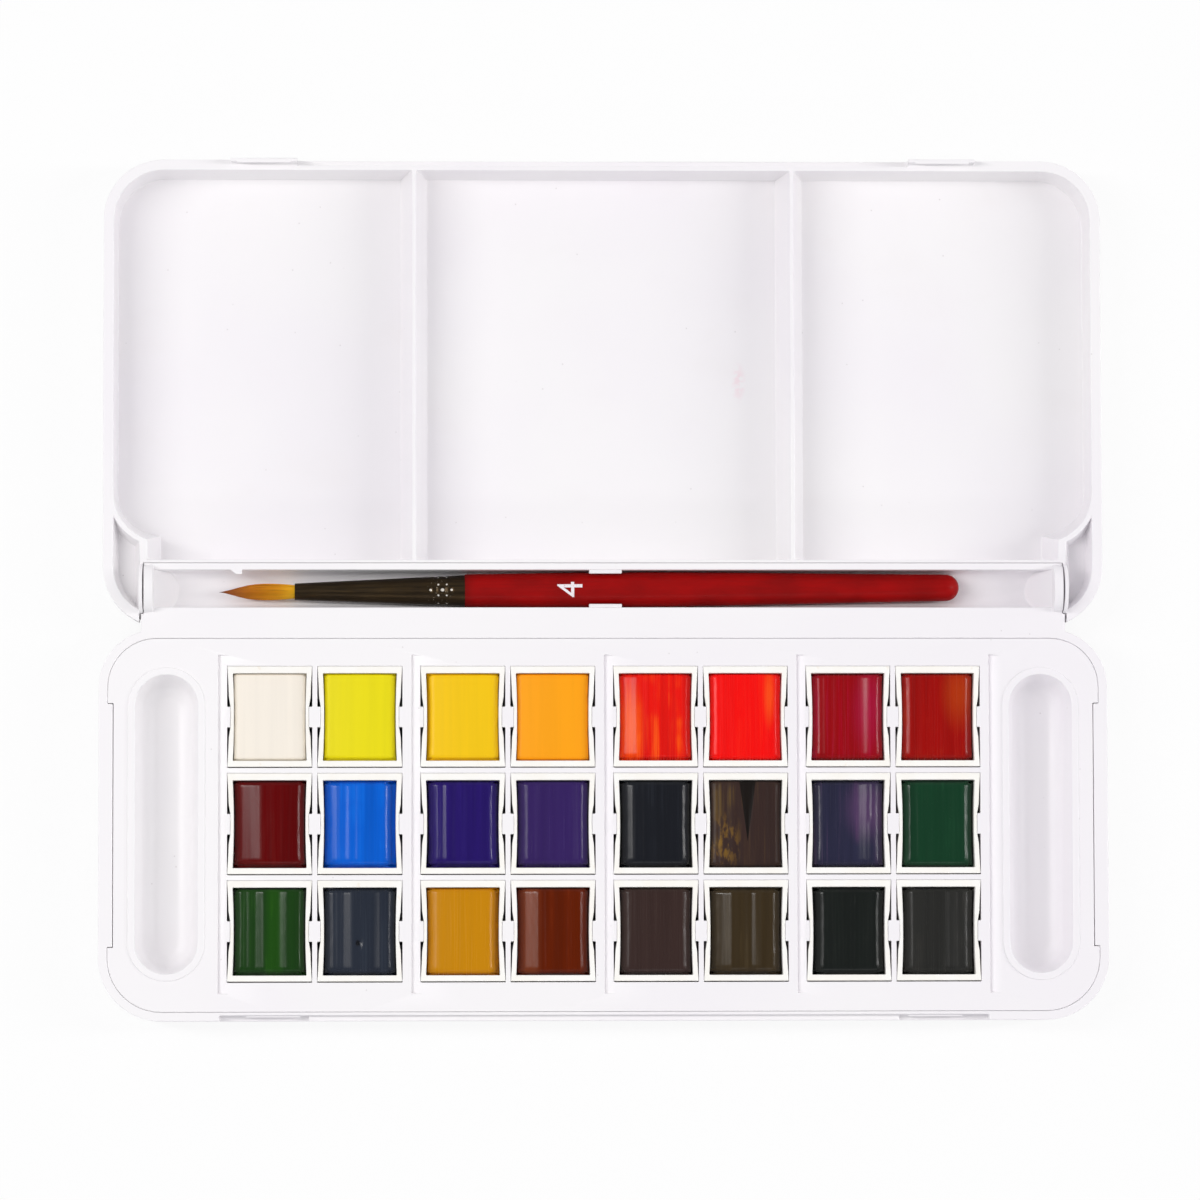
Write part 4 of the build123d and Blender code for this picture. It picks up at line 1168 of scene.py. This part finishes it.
class PAINTSET_OT_stage(bpy.types.Operator):
    """Set up the floor, the soft lights and the camera over the open box"""

    bl_idname = "paintset.stage"
    bl_label = "Stage"

    def execute(self, context):
        scene = context.scene
        scene.view_settings.view_transform = "Standard"
        self.floor()
        self.world(scene)
        # Each light: direction from the box, distance, size across and along, power and colour
        lamps = (
            ("left_softbox", (-0.57, 0.10, 0.82), 1.4, (0.085, 0.9), 6.6, (1.0, 0.985, 0.97)),
            ("right_softbox", (0.80, 0.05, 0.60), 1.4, (0.055, 0.9), 5.6, (1.0, 0.985, 0.975)),
            ("front_fill", (0.05, -0.75, 0.66), 1.6, (1.2, 0.12), 1.1, (1.0, 1.0, 1.0)),
        )
        for name, way, distance, size, power, colour in lamps:
            lamp = bpy.data.lights.new(name, "AREA")
            lamp.shape = "RECTANGLE"
            lamp.size, lamp.size_y = size
            lamp.energy, lamp.color = power, colour
            place = put(name, lamp)
            direction = Vector(way).normalized()
            place.location = direction * distance
            place.rotation_euler = (-direction).to_track_quat("-Z", "Y").to_euler()
        self.camera(scene)
        return {"FINISHED"}

    def floor(self):
        """A white floor that the camera sees nearly unshaded."""
        bm = bmesh.new()
        bmesh.ops.create_grid(bm, x_segments=1, y_segments=1, size=4.0)
        mesh = bpy.data.meshes.new("floor")
        bm.to_mesh(mesh)
        bm.free()
        floor = put("floor", mesh)
        floor.location.z = -0.0002
        f = Finish("pale_floor")
        seen = f.add("ShaderNodeLightPath", out="Is Camera Ray")
        plain = f.add("ShaderNodeBsdfDiffuse", None, {"Color": (0.9, 0.9, 0.9, 1)})
        white = f.add("ShaderNodeEmission", None, {"Color": (1, 1, 1, 1), "Strength": 1.0})
        shown = f.add("ShaderNodeMixShader", None, {0: seen * 0.88, 1: plain, 2: white})
        f.add("ShaderNodeOutputMaterial", None, {"Surface": shown})
        mesh.materials.append(f.material)

    def world(self, scene):
        """A pale room, dark straight overhead so that flat glossy tops keep their colour."""
        f = Finish("soft_room", bpy.data.worlds)
        scene.world = f.material
        way = f.add("ShaderNodeTexCoord", out="Generated")
        up = f.add("ShaderNodeSeparateXYZ", None, {0: way}, out="Z").math("MAXIMUM", 0.0)
        # Straight up, the room is dimmer as a light and nearly black as a reflection
        mirrored = f.add("ShaderNodeLightPath", out="Is Glossy Ray")
        fall = mirrored * 0.5 + 0.25
        level = mirrored * 0.1 + 0.71 - up * up * fall
        room = f.add("ShaderNodeBackground", None, {"Color": (0.965, 0.97, 1.0, 1), "Strength": level})
        shown = f.add("ShaderNodeBackground", None, {"Color": (1, 1, 1, 1), "Strength": 1.0})
        seen = f.add("ShaderNodeLightPath", out="Is Camera Ray")
        mixed = f.add("ShaderNodeMixShader", None, {0: seen, 1: room, 2: shown})
        f.add("ShaderNodeOutputWorld", None, {"Surface": mixed})

    def camera(self, scene):
        """The photograph's view: nearly straight down, leaning a little from the left and the front."""
        data = bpy.data.cameras.new("photo_camera")
        camera = put("photo_camera", data)
        scene.camera = camera
        distance = 1.25
        picture_size, pixels_per_mm = 1200, 5.24
        across = picture_size / pixels_per_mm * MM
        data.sensor_width = 36.0
        data.lens = data.sensor_width * distance / across
        data.clip_start, data.clip_end = 0.05, 20.0
        target = Vector((-0.76, -2.2, RIM)) * MM
        back = Vector((-math.tan(math.radians(1.9)), -math.tan(math.radians(4.0)), 1)).normalized()
        turn = (-back).to_track_quat("-Z", "Y").to_matrix().to_4x4()
        # Keep the box's length level in the picture
        level = turn.inverted() @ Vector((1, 0, 0, 0))
        roll = math.atan2(level.y, level.x)
        stand = Matrix.Translation(target + back * distance)
        camera.matrix_world = stand @ turn @ Matrix.Rotation(roll, 4, "Z")


class PAINTSET_PT_panel(bpy.types.Panel):
    bl_label = "Paint Set"
    bl_idname = "PAINTSET_PT_panel"
    bl_space_type = "VIEW_3D"
    bl_region_type = "UI"
    bl_category = "Paint Set"

    def draw(self, context):
        for name in PaintSetSettings.__annotations__:
            self.layout.prop(context.scene.paint_set, name)
        for operator in OPERATORS:
            self.layout.operator(operator.bl_idname)


OPERATORS = (
    PAINTSET_OT_lid,
    PAINTSET_OT_base,
    PAINTSET_OT_tray,
    PAINTSET_OT_tabs,
    PAINTSET_OT_pans,
    PAINTSET_OT_cakes,
    PAINTSET_OT_handle,
    PAINTSET_OT_ferrule,
    PAINTSET_OT_bristles,
    PAINTSET_OT_stage,
)
CLASSES = (PaintSetSettings, *OPERATORS, PAINTSET_PT_panel)


def register():
    for item in CLASSES:
        bpy.utils.register_class(item)
    bpy.types.Scene.paint_set = bpy.props.PointerProperty(type=PaintSetSettings)


def unregister():
    del bpy.types.Scene.paint_set
    for item in reversed(CLASSES):
        bpy.utils.unregister_class(item)


def main():
    register()
    for operator in OPERATORS:
        group, name = operator.bl_idname.split(".")
        getattr(getattr(bpy.ops, group), name)()


if __name__ == "__main__":
    main()
